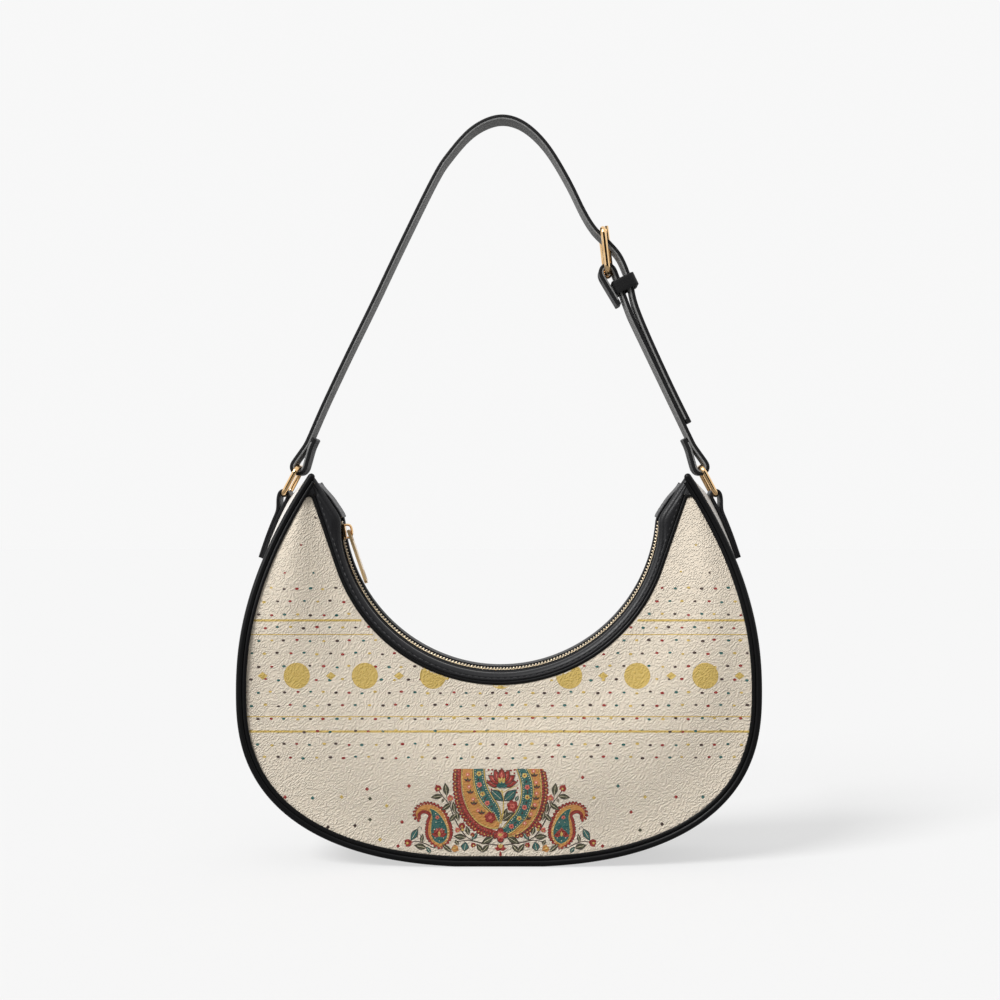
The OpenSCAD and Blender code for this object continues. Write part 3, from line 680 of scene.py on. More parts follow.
def panelRing(u, shares, inset, thick, side):
    outer = [panelPoint(u, v, inset, side) for v in shares]
    return outer + [panelPoint(u, v, inset + thick, side) for v in reversed(shares)]


for side, name in bothSides:
    bm = bmesh.new()
    shares = [-1] + lerps(0, 1, panel["rows"]) + [2]
    stations = crowded(panel["cols"], panel["tipShare"])
    skin(bm, capped([panelRing(u, shares, 0, panel["thick"], side) for u in stations]))
    if side == 1:
        panelTree = BVHTree.FromBMesh(bm)
    addPiece(name + "_panelLeather", bm, [creamLeather], stands=[name + "_panel"])

# Gusset between the panels
gusset = {
    "sideGap": 3.1, "under": 0.9, "in": 1.0, "crown": 5, "thick": 1.6, "endShare": 0.992,
    "cols": 110, "rows": 9,
}


def gussetRing(u, inset, thick, rows, halfWidth, narrow=1.0, lift=0):
    ring = []
    for deep, way in ((inset, 1), (inset + thick, -1)):
        for k in range(-rows, rows + 1):
            share = narrow * math.sin(math.pi / 2 * k / rows) * way
            off = (gussetBulge(u) + gusset["in"]) * (1 - abs(share) ** gusset["crown"]) - gusset["in"]
            p = outlineOff(u, off - deep)
            ring.append((p.x, halfWidth * share, max(deep - lift, p.y)))
    return ring


bm = bmesh.new()
rings = []
for u in crowded(gusset["cols"], gusset["endShare"], 0.1):
    halfWidth = halfDepth(u) - gusset["sideGap"] + gusset["under"]
    rings.append(gussetRing(u, 0, gusset["thick"], gusset["rows"], halfWidth))
skin(bm, capped(rings))
addPiece("gussetLeather", bm, [paleLeather], stands=["gusset"])

# Outer piping: a cord with round ends and the flat flange beside it; at the back it ends lower
piping = {
    "last": {1: 1.0, -1: 0.984}, "cord": 2.2, "sink": 0.6, "endRun": 0.3, "caps": 7, "cols": 150,
    "flangeFrom": 4.15, "flangeTo": 6.45, "flangeLow": 0.35, "flangeHigh": 1.45, "flangeShort": 0.004,
    "flangeShape": [(0, 0.1), (0.02, 0.7), (0.14, 1), (0.5, 1.08), (0.86, 1), (0.98, 0.7), (1, 0), (0.5, 0)],
}


def cordRing(u, on, grow, side):
    # a ring of the cord; on and grow round its ends off
    out = outlineOut(u)
    past = piping["endRun"] + on * piping["cord"] if on else 0
    heart = outlineOff(u, -piping["cord"]) + Vector((-out.y, out.x)) * past * math.copysign(1, u)
    ring = []
    for c, t in roundSection(piping["cord"] * grow, 20):
        p = heart + out * c
        ring.append((p.x, -side * (halfDepth(u) - piping["sink"] + t), max(0, p.y)))
    return ring


def flangeRing(u, side):
    ring = []
    for share, rise in piping["flangeShape"]:
        p = outlineOff(u, -lerp(piping["flangeFrom"], piping["flangeTo"], share))
        stand = lerp(piping["flangeLow"], piping["flangeHigh"], rise)
        ring.append((p.x, -side * (halfDepth(u) + stand), max(0, p.y)))
    return ring


for side, name in bothSides:
    bm = bmesh.new()
    last = piping["last"][side]
    caps = [math.pi / 2 * k / piping["caps"] for k in range(1, piping["caps"])]
    rings = [cordRing(-last, math.sin(a), math.cos(a), side) for a in reversed(caps)]
    rings += [cordRing(u, 0, 1, side) for u in crowded(piping["cols"], last, 0.2)]
    rings += [cordRing(last, math.sin(a), math.cos(a), side) for a in caps]
    skin(bm, capped(rings))
    stations = crowded(piping["cols"], last - piping["flangeShort"], 0.2)
    skin(bm, capped([flangeRing(u, side) for u in stations]))
    name += "_piping"
    addPiece(name + "Leather", bm, [pipingLeather], stands=[name], sharp=60)

# Mouth facings: they slope to the zip and roll down over the panels' edges; the front one lies lower
facing = {
    "last": {1: 1.0, -1: 0.984}, "thick": 1.2, "thin": 0.5, "endThin": 0.55, "cols": 110,
    "top": {1: 0.55, -1: -0.85}, "inner": {1: 7.6, -1: 12.5}, "dip": {1: 0.75, -1: 0.3},
    "roll": {1: 2.8, -1: 3.2},
    "riseFrom": 0.74, "riseTo": 0.85, "flatLeast": 1.5, "pad": 0.75, "drop": 4.3, "joins": 1.6,
    "stitchUp": 1.35, "stitchTo": 0.955, "stitchSteps": 1799, "stitchOut": 0.5,
    "thread": {"stitch": 2.9, "gap": 0.9, "width": 0.72, "sink": 0.04},
}


def facingLine(w, side):
    # across the facing, as (off from the mouth line, depth): a slope, a quarter roll and the drop
    edge, roll = mouthHalfDepth(w) - facing["thick"] / 2, facing["roll"][side]
    rise = ease(facing["riseFrom"], facing["riseTo"], abs(w))
    top = lerp(facing["top"][side], facing["top"][-1], rise)
    inner = min(facing["inner"][side], edge - roll - facing["flatLeast"])
    flat = edge - roll - inner
    line = [(top + facing["dip"][side] * (1 - k / 4) ** 1.5, inner + flat * k / 4) for k in range(4)]
    for a in lerps(0, math.pi / 2, 8):
        line.append((top + roll * (1 - math.cos(a)), edge - roll * (1 - math.sin(a))))
    rolled = line[-1][0]
    for t in lerps(0, 1, 5, 1):
        line.append((lerp(rolled, facing["drop"], t), edge + facing["pad"] * math.sin(math.pi * t)))
    return [Vector(p) for p in line]


def facingAt(w, off):
    # from the zip's own line over to the panels' mouth edge
    return mouthAt(w, off).lerp(edgeAt(w, off), ease(facing["joins"], facing["drop"], off))


def facingRing(w, side):
    # a closed section round the line, thinner at its start, with round ends
    line = facingLine(w, side)
    outer, inner = [], []
    for k, p in enumerate(line):
        run = runAt(line, k)
        half = lerp(facing["thin"], facing["thick"], ease(0, 5, k)) / 2
        if k in (0, len(line) - 1):
            half *= facing["endThin"]
        out = Vector((-run.y, run.x)) * half
        outer.append(p + out)
        inner.append(p - out)
    ring = []
    for q in outer + inner[::-1]:
        p = facingAt(w, q.x)
        ring.append((p.x, -side * q.y, p.y))
    return ring


for side, name in bothSides:
    name += "_mouth_facing"
    bm = bmesh.new()
    skin(bm, capped([facingRing(w, side) for w in crowded(facing["cols"], facing["last"][side])]))
    addPiece(name + "Leather", bm, [trimLeather], stands=[name], sharp=70)
    bm = bmesh.new()
    places = []
    for w in lerps(-facing["stitchTo"], facing["stitchTo"], facing["stitchSteps"]):
        p = edgeAt(w, facing["drop"] - facing["stitchUp"])
        places.append(upright(p, -side * (mouthHalfDepth(w) + facing["stitchOut"])))
    stitchRow(bm, places, [depthWay * -side] * len(places), **facing["thread"])
    addPiece(name + "Stitches", bm, [litBlackThread])

# Thin piping under each facing: it curls over the panel's tip and goes under the flange
mouthCord = {
    "radius": 1.3, "off": 5.8, "under": 0.55, "tipRadius": 1.8, "tipUnder": 0.2, "tipTurn": 0.35,
    "steps": 130, "curlSteps": 16, "seeks": 79, "leaves": (0.86, 0.98), "goesUnder": (0.9, 1.0),
}


def tipCentre():
    # where a disc in the panel's tip touches both the mouth cord and the flange
    best = None
    for w in lerps(*mouthCord["leaves"], mouthCord["seeks"]):
        p = edgeAt(w, mouthCord["off"] + mouthCord["radius"] + mouthCord["tipRadius"])
        for u in lerps(*mouthCord["goesUnder"], mouthCord["seeks"]):
            gap = (outlineOff(u, -piping["flangeTo"] - mouthCord["tipRadius"]) - p).length
            if best is None or gap < best[0]:
                best = (gap, w, u, p)
    return best[1:]


leaveAt, underAt, curlCentre = tipCentre()
curlRadius = mouthCord["tipRadius"] + mouthCord["radius"]


def curlPoint(t, end, side):
    # round the tip's disc, from the mouth cord at t = 0 to under the flange at 1
    away, over = edgeAt(leaveAt, 0) - edgeAt(leaveAt, 1), outlineOut(underAt)
    a = lerp(math.atan2(away.y, away.x), math.atan2(over.y, over.x) - mouthCord["tipTurn"], t)
    p = curlCentre + heading(a) * curlRadius
    start, finish = mouthHalfDepth(leaveAt) - mouthCord["under"], halfDepth(underAt) - mouthCord["tipUnder"]
    return upright(Vector((end * p.x, p.y)), -side * lerp(start, finish, ease(0, 0.8, t)))


# Leather that closes the tip between the flange and the facing
tipCover = {
    "outlineFrom": 0.966, "outlineOff": -4.6, "outlineOver": 0.35,
    "mouthFrom": 0.945, "mouthOff": 3.4, "mouthOver": 0.05, "pad": 0.35, "thick": 1.2, "cols": 12, "rows": 6,
}


def tipRing(t, end, side):
    u = lerp(tipCover["outlineFrom"], piping["last"][side], t)
    w = lerp(tipCover["mouthFrom"], facing["last"][side], t)
    p, q = outlineOff(u, tipCover["outlineOff"]), facingAt(w, tipCover["mouthOff"])
    outer, inner = halfDepth(u) + tipCover["outlineOver"], mouthHalfDepth(w) + tipCover["mouthOver"]
    ring = []
    for m in lerps(0, 1, tipCover["rows"]):
        y = lerp(outer, inner, m) + tipCover["pad"] * math.sin(math.pi * m)
        ring.append(Vector((end * lerp(p.x, q.x, m), -side * y, lerp(p.y, q.y, m))))
    return ring + [v + depthWay * side * tipCover["thick"] for v in ring[::-1]]


for side, name in bothSides:
    route = []
    for w in lerps(-leaveAt, leaveAt, 2 * mouthCord["steps"]):
        route.append(upright(edgeAt(w, mouthCord["off"]), -side * (mouthHalfDepth(w) - mouthCord["under"])))
    turns = lerps(0, 1, mouthCord["curlSteps"], 1)
    route = [curlPoint(t, -1, side) for t in reversed(turns)] + route + [curlPoint(t, 1, side) for t in turns]
    stations = []
    for k, p in enumerate(route):
        run = runAt(route, k)
        first = run.cross(depthWay).normalized()
        stations.append((p, first, run.cross(first).normalized()))
    bm = bmesh.new()
    sweep(bm, stations, roundSection(mouthCord["radius"], 14))
    piece = name + "_mouth_piping"
    addPiece(piece + "Leather", bm, [pipingLeather], stands=[piece], sharp=60)
    bm = bmesh.new()
    for end in (1, -1):
        skin(bm, capped([tipRing(t, end, side) for t in lerps(0, 1, tipCover["cols"])]))
    addPiece(name + "TipLeather", bm, [trimLeather])

# Zip: tapes with a bead at their edge, teeth and stops. A tape's line is (depth, off from the mouth line)
zipper = {
    "endAngle": 85.3, "pitch": 2.0, "tooth": (2.3, 0.85, 2.5), "skew": 6, "bevel": 0.32,
    "toothOff": 0.35, "toothDepth": 1.45, "toothRise": {1: 0.65, -1: -0.6}, "shift": {1: 0.25, -1: 0.75},
    "tape": {
        1: [(2.5, 0.3), (4.5, 0.5), (6, 0.85), (8, 1.75), (11.3, 1.9)],
        -1: [(2.5, 0.3), (4.5, 0.3), (6, 0.2), (9, 0.1), (13.6, 0.1)],
    },
    "thick": 0.6, "endShare": 0.865, "cols": 100, "beadRadius": 0.6, "beadOff": 0.45, "beadDepth": 3.1,
}
radius = bag["mouthRadius"]
toothCount = math.floor(2 * math.radians(zipper["endAngle"]) * radius / zipper["pitch"])
toothStep = 2 * zipper["endAngle"] / toothCount


def arcPoint(angle, radius, y):
    return upright(mouthCentre + heading(math.radians(angle)) * radius, y)


def alongMouth(w, section, side):
    return [upright(mouthAt(w, off), -side * y) for y, off in section]


for side, name in bothSides:
    name += "_zip"
    line = zipper["tape"][side]
    tape = line + [(y, off + zipper["thick"]) for y, off in line[::-1]]
    around = roundSection(zipper["beadRadius"], 8)
    edge = [(zipper["beadDepth"] + t, zipper["beadOff"] + c) for c, t in around]
    stations = crowded(zipper["cols"], zipper["endShare"], 0.2)
    bm = bmesh.new()
    skin(bm, capped([alongMouth(w, tape, side) for w in stations]))
    skin(bm, capped([alongMouth(w, edge, side) for w in stations]))
    addPiece(name + "_tapeCloth", bm, [tapeCloth], stands=[name + "_tape"])
    bm = bmesh.new()
    high, wide, deep = [length * mm for length in zipper["tooth"]]
    toothRadius = radius + zipper["toothOff"] - zipper["toothRise"][side]
    skew = Matrix.Rotation(math.radians(zipper["skew"]), 4, "X")
    for i in range(toothCount):
        angle = 270 - zipper["endAngle"] + toothStep * (i + zipper["shift"][side])
        place = Matrix.Translation(arcPoint(angle, toothRadius, -side * zipper["toothDepth"]) * mm)
        turn = Matrix.Rotation(-math.radians(angle), 4, "Y") @ skew
        size = Matrix.Diagonal((high, deep, wide, 1))
        bmesh.ops.create_cube(bm, size=1, matrix=place @ turn @ size)
    rounding = {"segments": 1, "profile": 0.5, "affect": "EDGES", "material": -1}
    bmesh.ops.bevel(bm, geom=bm.edges[:], offset=zipper["bevel"] * mm, **rounding)
    addPiece(name + "_teethMetal", bm, [litToothMetal], stands=[name + "_teeth"], sharp=60)
keepSolid("zip_stops", litToothMetal, 0.2)

# Slider, its crown and the puller
keepSolid("zip_slider_body", goldMetal, 0.22)
keepSolid("zip_puller", litPullerGold, 0.4, 4)
crown = {
    "centre": 82.2, "wire": 0.75, "flat": 1.5, "reach": 4.2, "foot": 2.5, "top": 6.0,
    "square": 0.7, "shoulder": 0.6, "steps": 24,
}
route = []
for a in lerps(0, math.pi, crown["steps"]):
    across = -crown["reach"] * math.copysign(abs(math.cos(a)) ** crown["square"], math.cos(a))
    inward = lerp(crown["foot"], crown["top"], math.sin(a) ** crown["shoulder"])
    p = arcPoint(270 - crown["centre"] + math.degrees(across / radius), radius - inward, 0)
    route.append(Vector((p.x, p.z)))
bm = bmesh.new()
wire = [(x, y * crown["flat"]) for x, y in roundSection(crown["wire"], 12)]
sweep(bm, alongPlane(relaxed(route, 2)), wire)
addPiece("zip_slider_crownWire", bm, [goldMetal], "slider", ["zip_slider_crown"])

# Tabs over the zip's ends, which wrap over the tips
endTab = {
    "width": 21, "thick": 1.1, "edge": 0.5, "round": 0.4, "lift": 2.15, "tipLift": 0.4, "endLift": 0.6,
    "fromShare": 0.842, "toShare": 0.972, "endShare": 0.979, "steps": 26, "step": 0.9,
    "stitch": 2.4, "stitchIn": 2.2, "stitchReach": 8.6,
}
for end, name in ((-1, "left_zip_end_tab"), (1, "right_zip_end_tab")):
    line = []
    for t in lerps(0, 1, endTab["steps"]):
        lift = endTab["lift"] * lerp(1, endTab["tipLift"], ease(0.5, 1, t))
        line.append(mouthAt(lerp(endTab["fromShare"], endTab["toShare"], t), -lift))
    line.append(mouthAt(endTab["endShare"], -lift * endTab["endLift"]))
    line = [Vector((end * p.x, p.y)) for p in relaxed(evenly(line, endTab["step"]), 3)]
    bm = bmesh.new()
    section = stripSection(endTab["thick"], endTab["width"], endTab["edge"])
    sweep(bm, alongPlane(line), section, taper=endTab["round"])
    addPiece(name + "Leather", bm, [trimLeather], stands=[name], sharp=60)
    bm = bmesh.new()
    marks = alongPlane(line, -end * endTab["thick"] / 2)
    up = marks[8][1] * -end
    for flank in (-1, 1):
        aside = depthWay * flank * (endTab["width"] / 2 - endTab["stitchIn"])
        places = relaxed(evenly([p + aside for p, a, b in marks[2:-14]], stitchStep), 1)
        stitchRow(bm, places, [up] * len(places), endTab["stitch"])
    place, up, _ = marks[3]
    stitchAcross(bm, place, up * -end, endTab["stitchReach"], endTab["stitch"])
    addPiece(name + "Stitches", bm, [litBlackThread])

# Print on the front panel. Places are pixels of the photograph, carried onto the leather from the viewpoint
inkLift = {"first": 0.05, "layer": 0.03}  # millimetres above the leather
pictureSize = 1000
pixelScale = viewpoint["lens"] / viewpoint["sensor"] * pictureSize
pixelCentre = (pictureSize * (0.5 - viewpoint["shiftX"]), pictureSize * 0.5)
inkMesh = {ink: bmesh.new() for ink in inks}

# Shapes of the small motifs, as shares of their length or radius; both half widths are in pixels
bandLeast = 0.05  # the least half width of a band
leafShape = {
    "sides": [(-0.5, 0.02), (-0.3, 0.62), (-0.05, 1.0), (0.2, 0.72), (0.5, 0.02)],
    "rimLonger": 1.12, "rimWider": 1.3, "vein": (-0.48, 0, 0.3), "veinHalf": 0.16,
}
flowerShape = {"reach": 0.56, "petal": 0.44, "heart": 0.34}
budShape = {
    "aside": 0.3, "open": 24, "long": 1.9, "wide": 0.95, "middleLong": 2.1, "middleWide": 0.9, "cup": 0.3,
}


def onPanel(px, py):
    # where the line of sight through a pixel meets the leather
    across, down = (px - pixelCentre[0]) / pixelScale, (py - pixelCentre[1]) / pixelScale
    sight = Vector((across, 1, -down)).normalized()
    return panelTree.ray_cast(Vector(viewpoint["place"]), sight)[:2]


def liftOf(layer):
    return (inkLift["first"] + inkLift["layer"] * layer) * mm


def turnedAway(face):
    face.normal_update()
    return face.normal.y > 0


def lay(ink, layer, columns):
    # a patch of ink: columns of pixel places
    bm = inkMesh[ink]
    cols, rows = len(columns), len(columns[0])
    made = bmesh.ops.create_grid(bm, x_segments=cols - 1, y_segments=rows - 1, size=0.5)["verts"]
    missed = []
    for k, v in enumerate(made):
        place, normal = onPanel(*columns[k % cols][k // cols])
        if place is None:
            missed.append(v)
        else:
            v.co = place + normal * liftOf(layer)
    faces = {f for v in made for f in v.link_faces}
    back = [f for f in faces if f.calc_area() > 1e-12 and turnedAway(f)]
    if back:
        bmesh.ops.reverse_faces(bm, faces=back)
    bmesh.ops.delete(bm, geom=missed, context="VERTS")


def bead(ink, layer, px, py, wide, high=None, sides=8):
    place, normal = onPanel(px, py)
    if place is None:
        return
    pixel = (place.y - viewpoint["place"][1]) / pixelScale
    face = normal.to_track_quat("Z", "Y").to_matrix().to_4x4()
    size = Matrix.Diagonal((pixel * wide, pixel * (high or wide), 1, 1))
    spot = Matrix.Translation(place + normal * liftOf(layer)) @ face @ size
    bmesh.ops.create_circle(inkMesh[ink], cap_ends=True, segments=sides, radius=1.0, matrix=spot)


def disc(ink, layer, px, py, r, rings=4, sides=36):
    columns = []
    for a in lerps(0, 2 * math.pi, sides):
        columns.append([(px + reach * math.cos(a), py + reach * math.sin(a)) for reach in lerps(0, r, rings)])
    lay(ink, layer, columns)


def band(ink, layer, spine, wider=0.0, rows=2, steps=6, cut=0):
    # a strip along places with half widths; nothing of it stands above the cut
    route = smoothRoute([Vector(p) for p in spine], steps)
    flat = [p.xy for p in route]
    columns = []
    for k, p in enumerate(flat):
        run = runAt(flat, k)
        reaches = [max(bandLeast, route[k].z + wider) * share for share in lerps(-1, 1, rows)]
        columns.append([(p.x + run.y * reach, max(cut, p.y - run.x * reach)) for reach in reaches])
    lay(ink, layer, columns)


def leaf(ink, layer, px, py, turn, length, wide, vein=None, plump=1.2):
    # a pointed leaf centred there; its turn is measured from the right, upwards
    if vein:
        rimLong, rimPlump = length * leafShape["rimLonger"], plump * leafShape["rimWider"]
        leaf("brown", layer, px, py, turn, rimLong, wide, plump=rimPlump)
        layer += 1
    way = heading(math.radians(-turn)) * length
    body = [(px + way.x * t, py + way.y * t, wide / 2 * h * plump) for t, h in leafShape["sides"]]
    band(ink, layer, body, steps=3)
    if vein:
        line = [(px + way.x * t, py + way.y * t, leafShape["veinHalf"]) for t in leafShape["vein"]]
        band(vein, layer + 1, line, steps=2, rows=1)


def blossom(px, py, r, petal, heart, petals=5, layer=3, turn=0.3):
    for k in range(petals):
        out = heading(turn + 2 * math.pi * k / petals) * r * flowerShape["reach"]
        bead(petal, layer, px + out.x, py + out.y, r * flowerShape["petal"])
    bead(heart, layer + 1, px, py, r * flowerShape["heart"])


def bud(px, py, r, petal, turn):
    # a closed flower: two outer petals, a middle one and a cup
    a = math.radians(turn)
    for flank in (-1, 1):
        aside = flank * r * budShape["aside"]
        x, y = px + math.sin(a) * aside, py + math.cos(a) * aside
        leaf(petal, 3, x, y, turn + budShape["open"] * flank, r * budShape["long"], r * budShape["wide"])
    leaf(petal, 3, px, py, turn, r * budShape["middleLong"], r * budShape["middleWide"])
    down = r * budShape["cup"]
    bead("gold", 4, px - math.cos(a) * down, py + math.sin(a) * down, down)


# Rows of dots: four colours in turn, each row starting at its own step
dots = {
    "left": 238.6, "top": 588.5, "rowStep": 13.0, "rows": 14, "across": 13.05, "count": 43,
    "wide": 1.9, "high": 1.25,
    "turns": ["gold", "brown", "red", "teal"], "starts": [0.5, 0, 2.5, 2], "wobble": 0.9, "grow": (0.85, 1.1),
}
random.seed(7)
for row in range(dots["rows"]):
    start = dots["starts"][row % 4]
    for k in range(-1, dots["count"]):
        px = dots["left"] + dots["across"] * (k + start % 1) + random.uniform(-1, 1) * dots["wobble"]
        py = dots["top"] + dots["rowStep"] * row + random.uniform(-1, 1) * dots["wobble"]
        ink = dots["turns"][(k + 2 - int(start)) % 4]
        grow = random.uniform(*dots["grow"])
        bead(ink, 0, px, py, dots["wide"] * grow, dots["high"] * grow)

# Gold lines, then a row of discs with diamonds between them
goldLines = {"places": range(228, 776, 16), "rows": [(620.4, 1.1), (634.5, 0.5), (716.6, 0.5), (731.5, 1.1)]}
discRow = {
    "y": 675.8, "step": 68.1, "firstDisc": 296.7, "discs": 7, "radius": 13.1,
    "firstDiamond": 262.7, "diamonds": 8, "wide": 5.2, "high": 3.9,
}
for py, half in goldLines["rows"]:
    band("gold", 0, [(px, py, half) for px in goldLines["places"]], rows=1, steps=3)
for k in range(discRow["discs"]):
    disc("gold", 1, discRow["firstDisc"] + discRow["step"] * k, discRow["y"], discRow["radius"])
for k in range(discRow["diamonds"]):
    px = discRow["firstDiamond"] + discRow["step"] * k
    bead("gold", 1, px, discRow["y"], discRow["wide"], discRow["high"], 4)

# Loose dots above and loose diamonds below
looseDots = {"wide": 1.3, "high": 1.0, "places": [
    (315.6, 517.8, "brown"), (301, 545, "red"), (284.8, 572.9, "red"), (313.3, 572.9, "teal"),
    (696, 545, "gold"), (680.9, 571.6, "gold"), (709.6, 572.8, "brown"),
]}
looseDiamonds = {"reach": 2.1, "places": [
    (285, 797, "red"), (312.6, 798, "teal"), (341.6, 797, "gold"), (367, 789, "red"), (370, 798.6, "olive"),
    (386.7, 805.8, "gold"), (409, 786, "red"), (370, 819.6, "olive"), (355, 825.6, "brown"),
    (328, 827, "brown"), (402, 822, "red"), (380, 839.5, "gold"), (398, 846, "red"), (582.6, 777.4, "red"),
    (593.9, 797.6, "gold"), (602.6, 846, "red"), (618, 786, "teal"), (631, 812, "red"), (645, 797, "gold"),
    (662, 824, "brown"), (676, 797, "red"), (703, 797, "teal"), (640, 830, "olive"),
]}
for px, py, ink in looseDots["places"]:
    bead(ink, 0, px, py, looseDots["wide"], looseDots["high"])
for px, py, ink in looseDiamonds["places"]:
    bead(ink, 0, px, py, looseDiamonds["reach"], sides=4)

# The ornament, drawn on a finer grid about its own middle line
ornament = {"axis": 500.4, "middle": 703, "left": 400, "top": 755, "fine": 7.0, "cut": 768.8}


def grid(x, y, side=0):
    # side 0 keeps the drawing's own side; -1 and 1 mirror about the middle line
    px = ornament["left"] + x / ornament["fine"]
    if side:
        px = ornament["axis"] + side * (ornament["middle"] - x) / ornament["fine"]
    return px, ornament["top"] + y / ornament["fine"]


def bandOn(ink, layer, spine, wider=0.0, side=0, rows=2):
    placed = [(*grid(x, y, side), half / ornament["fine"]) for x, y, half in spine]
    band(ink, layer, placed, wider / ornament["fine"], rows, cut=ornament["cut"])


def beadOn(ink, layer, x, y, r, side=0):
    bead(ink, layer, *grid(x, y, side), r / ornament["fine"])


def beadsOn(ink, layer, spine, r, step, side=0, shift=0.0, flank=0.0):
    # beads along a strip: flank -1 or 1 puts them on that edge, 0 on its middle
    route = smoothRoute([Vector(p) for p in spine], 12)
    passed, wait = 0.0, shift
    for k in range(1, len(route)):
        run = (route[k] - route[k - 1]).xy
        passed += run.length
        if passed < wait:
            continue
        wait += step
        run.normalize()
        at = route[k].xy + Vector((run.y, -run.x)) * route[k].z * flank
        if grid(*at)[1] - r / ornament["fine"] > ornament["cut"]:
            beadOn(ink, layer, *at, r, side)


def leafOn(ink, layer, x, y, turn, length, wide, vein=None, side=0, plump=1.2):
    leaf(ink, layer, *grid(x, y, side), turn, length / ornament["fine"], wide / ornament["fine"], vein, plump)


def fanOn(ink, layer, x, y, turns, reach, length, wide, vein=None, side=0):
    # leaves that spread from a place, by that reach across and up
    for turn in turns:
        way = heading(math.radians(turn))
        leafOn(ink, layer, x + reach[0] * way.x, y - reach[1] * way.y, turn, length, wide, vein, side)


def blossomOn(x, y, r, petal, heart, petals=5, layer=3, turn=0.3, side=0):
    blossom(*grid(x, y, side), r / ornament["fine"], petal, heart, petals, layer, turn)


# The two big paisleys, cut by the top edge: strips as (x, y, half width)
bigLeft = {
    "red": [
        (406, 80, 22), (405, 97, 22), (403, 200, 23), (415, 300, 25), (446, 390, 27),
        (505, 468, 30), (575, 522, 30), (645, 548, 26), (700, 556, 20),
    ],
    "ochre": [
        (473, 80, 34), (473, 97, 34), (474, 190, 35), (492, 290, 38), (525, 370, 42),
        (580, 432, 46), (640, 474, 34), (695, 492, 14),
    ],
    "teal": [
        (548, 80, 34), (550, 97, 34), (556, 175, 35), (577, 250, 37), (615, 318, 36),
        (655, 368, 30), (684, 415, 17), (692, 462, 4),
    ],
}
bigRight = {
    "red": [
        (980, 80, 18), (985, 97, 18), (1000, 170, 20), (1006, 250, 22), (996, 330, 22),
        (972, 410, 22), (933, 478, 22), (882, 528, 20), (830, 556, 15), (775, 564, 4),
    ],
    "ochre": [
        (934, 80, 30), (938, 97, 30), (956, 190, 26), (958, 290, 24), (940, 375, 24),
        (903, 445, 24), (855, 502, 22), (795, 545, 12), (752, 560, 3),
    ],
    "teal": [
        (842, 76, 30), (852, 97, 30), (882, 170, 36), (893, 250, 37), (882, 335, 37),
        (850, 415, 37), (800, 475, 36), (750, 520, 28), (702, 530, 8),
    ],
}
bigStep = 23
for strips, outer in ((bigLeft, -1), (bigRight, 1)):
    bandOn("red", 0, strips["red"], rows=4)
    beadsOn("brown", 0, strips["red"], 14, bigStep, flank=outer)
    beadsOn("red", 1, strips["red"], 11, bigStep, flank=outer)
    beadsOn("gold", 2, strips["red"], 5, bigStep, flank=outer * 0.75)
    beadsOn("brown", 2, strips["red"], 6, bigStep, shift=11, flank=outer * 0.2)
    beadsOn("pink", 3, strips["red"], 4, bigStep, shift=5, flank=outer * -0.35)
    for ink, layer, wider in (("brown", 1, 12), ("gold", 2, 9), ("brown", 2, 3), ("ochre", 3, 0)):
        bandOn(ink, layer, strips["ochre"], wider, rows=4)
    for ink, layer, wider in (("brown", 4, 10), ("gold", 5, 7), ("teal", 6, 0)):
        bandOn(ink, layer, strips["teal"], wider, rows=4)
    beadsOn("cream", 7, strips["teal"], 3.2, 17, flank=0.72)
    beadsOn("cream", 7, strips["teal"], 3.2, 17, shift=8, flank=-0.72)

# Flowers and leaves on the teal strips, flowers and sprigs on the ochre ones
tealFlowers = [
    (553, 130, "gold"), (556, 208, "pink"), (578, 272, "gold"), (611, 336, "pink"), (872, 143, "gold"),
    (891, 225, "pink"), (891, 295, "gold"), (872, 366, "pink"), (834, 442, "gold"), (780, 498, "pink"),
]
tealLeaves = [
    (548, 170, 80), (566, 240, 60), (596, 304, 50), (640, 360, 40), (884, 186, 90), (893, 260, 90),
    (884, 332, 80), (856, 405, 60), (808, 472, 40),
]
ochreFlowers = [
    (474, 137), (484, 222), (512, 310), (546, 388), (935, 112), (953, 192), (956, 268), (944, 348),
    (916, 412), (872, 476),
]
ochreSprigs = [
    (474, 184), (492, 268), (518, 346), (572, 412), (940, 150), (957, 232), (952, 312), (934, 380),
    (893, 450),
]
for x, y, ink in tealFlowers:
    blossomOn(x, y, 19, ink, "red", layer=8)
for x, y, turn in tealLeaves:
    leafOn("brown", 8, x, y, turn, 25.2, 9.8)
for x, y in ochreFlowers:
    blossomOn(x, y, 15, "pink", "cream", layer=5)
for x, y in ochreSprigs:
    fanOn("brown", 5, x, y, (35, 145), (15, 13), 35, 11.9)
    fanOn("olive", 5, x, y, (90,), (15, 13), 35, 11.9)
    beadOn("red", 6, x, y, 5.6)

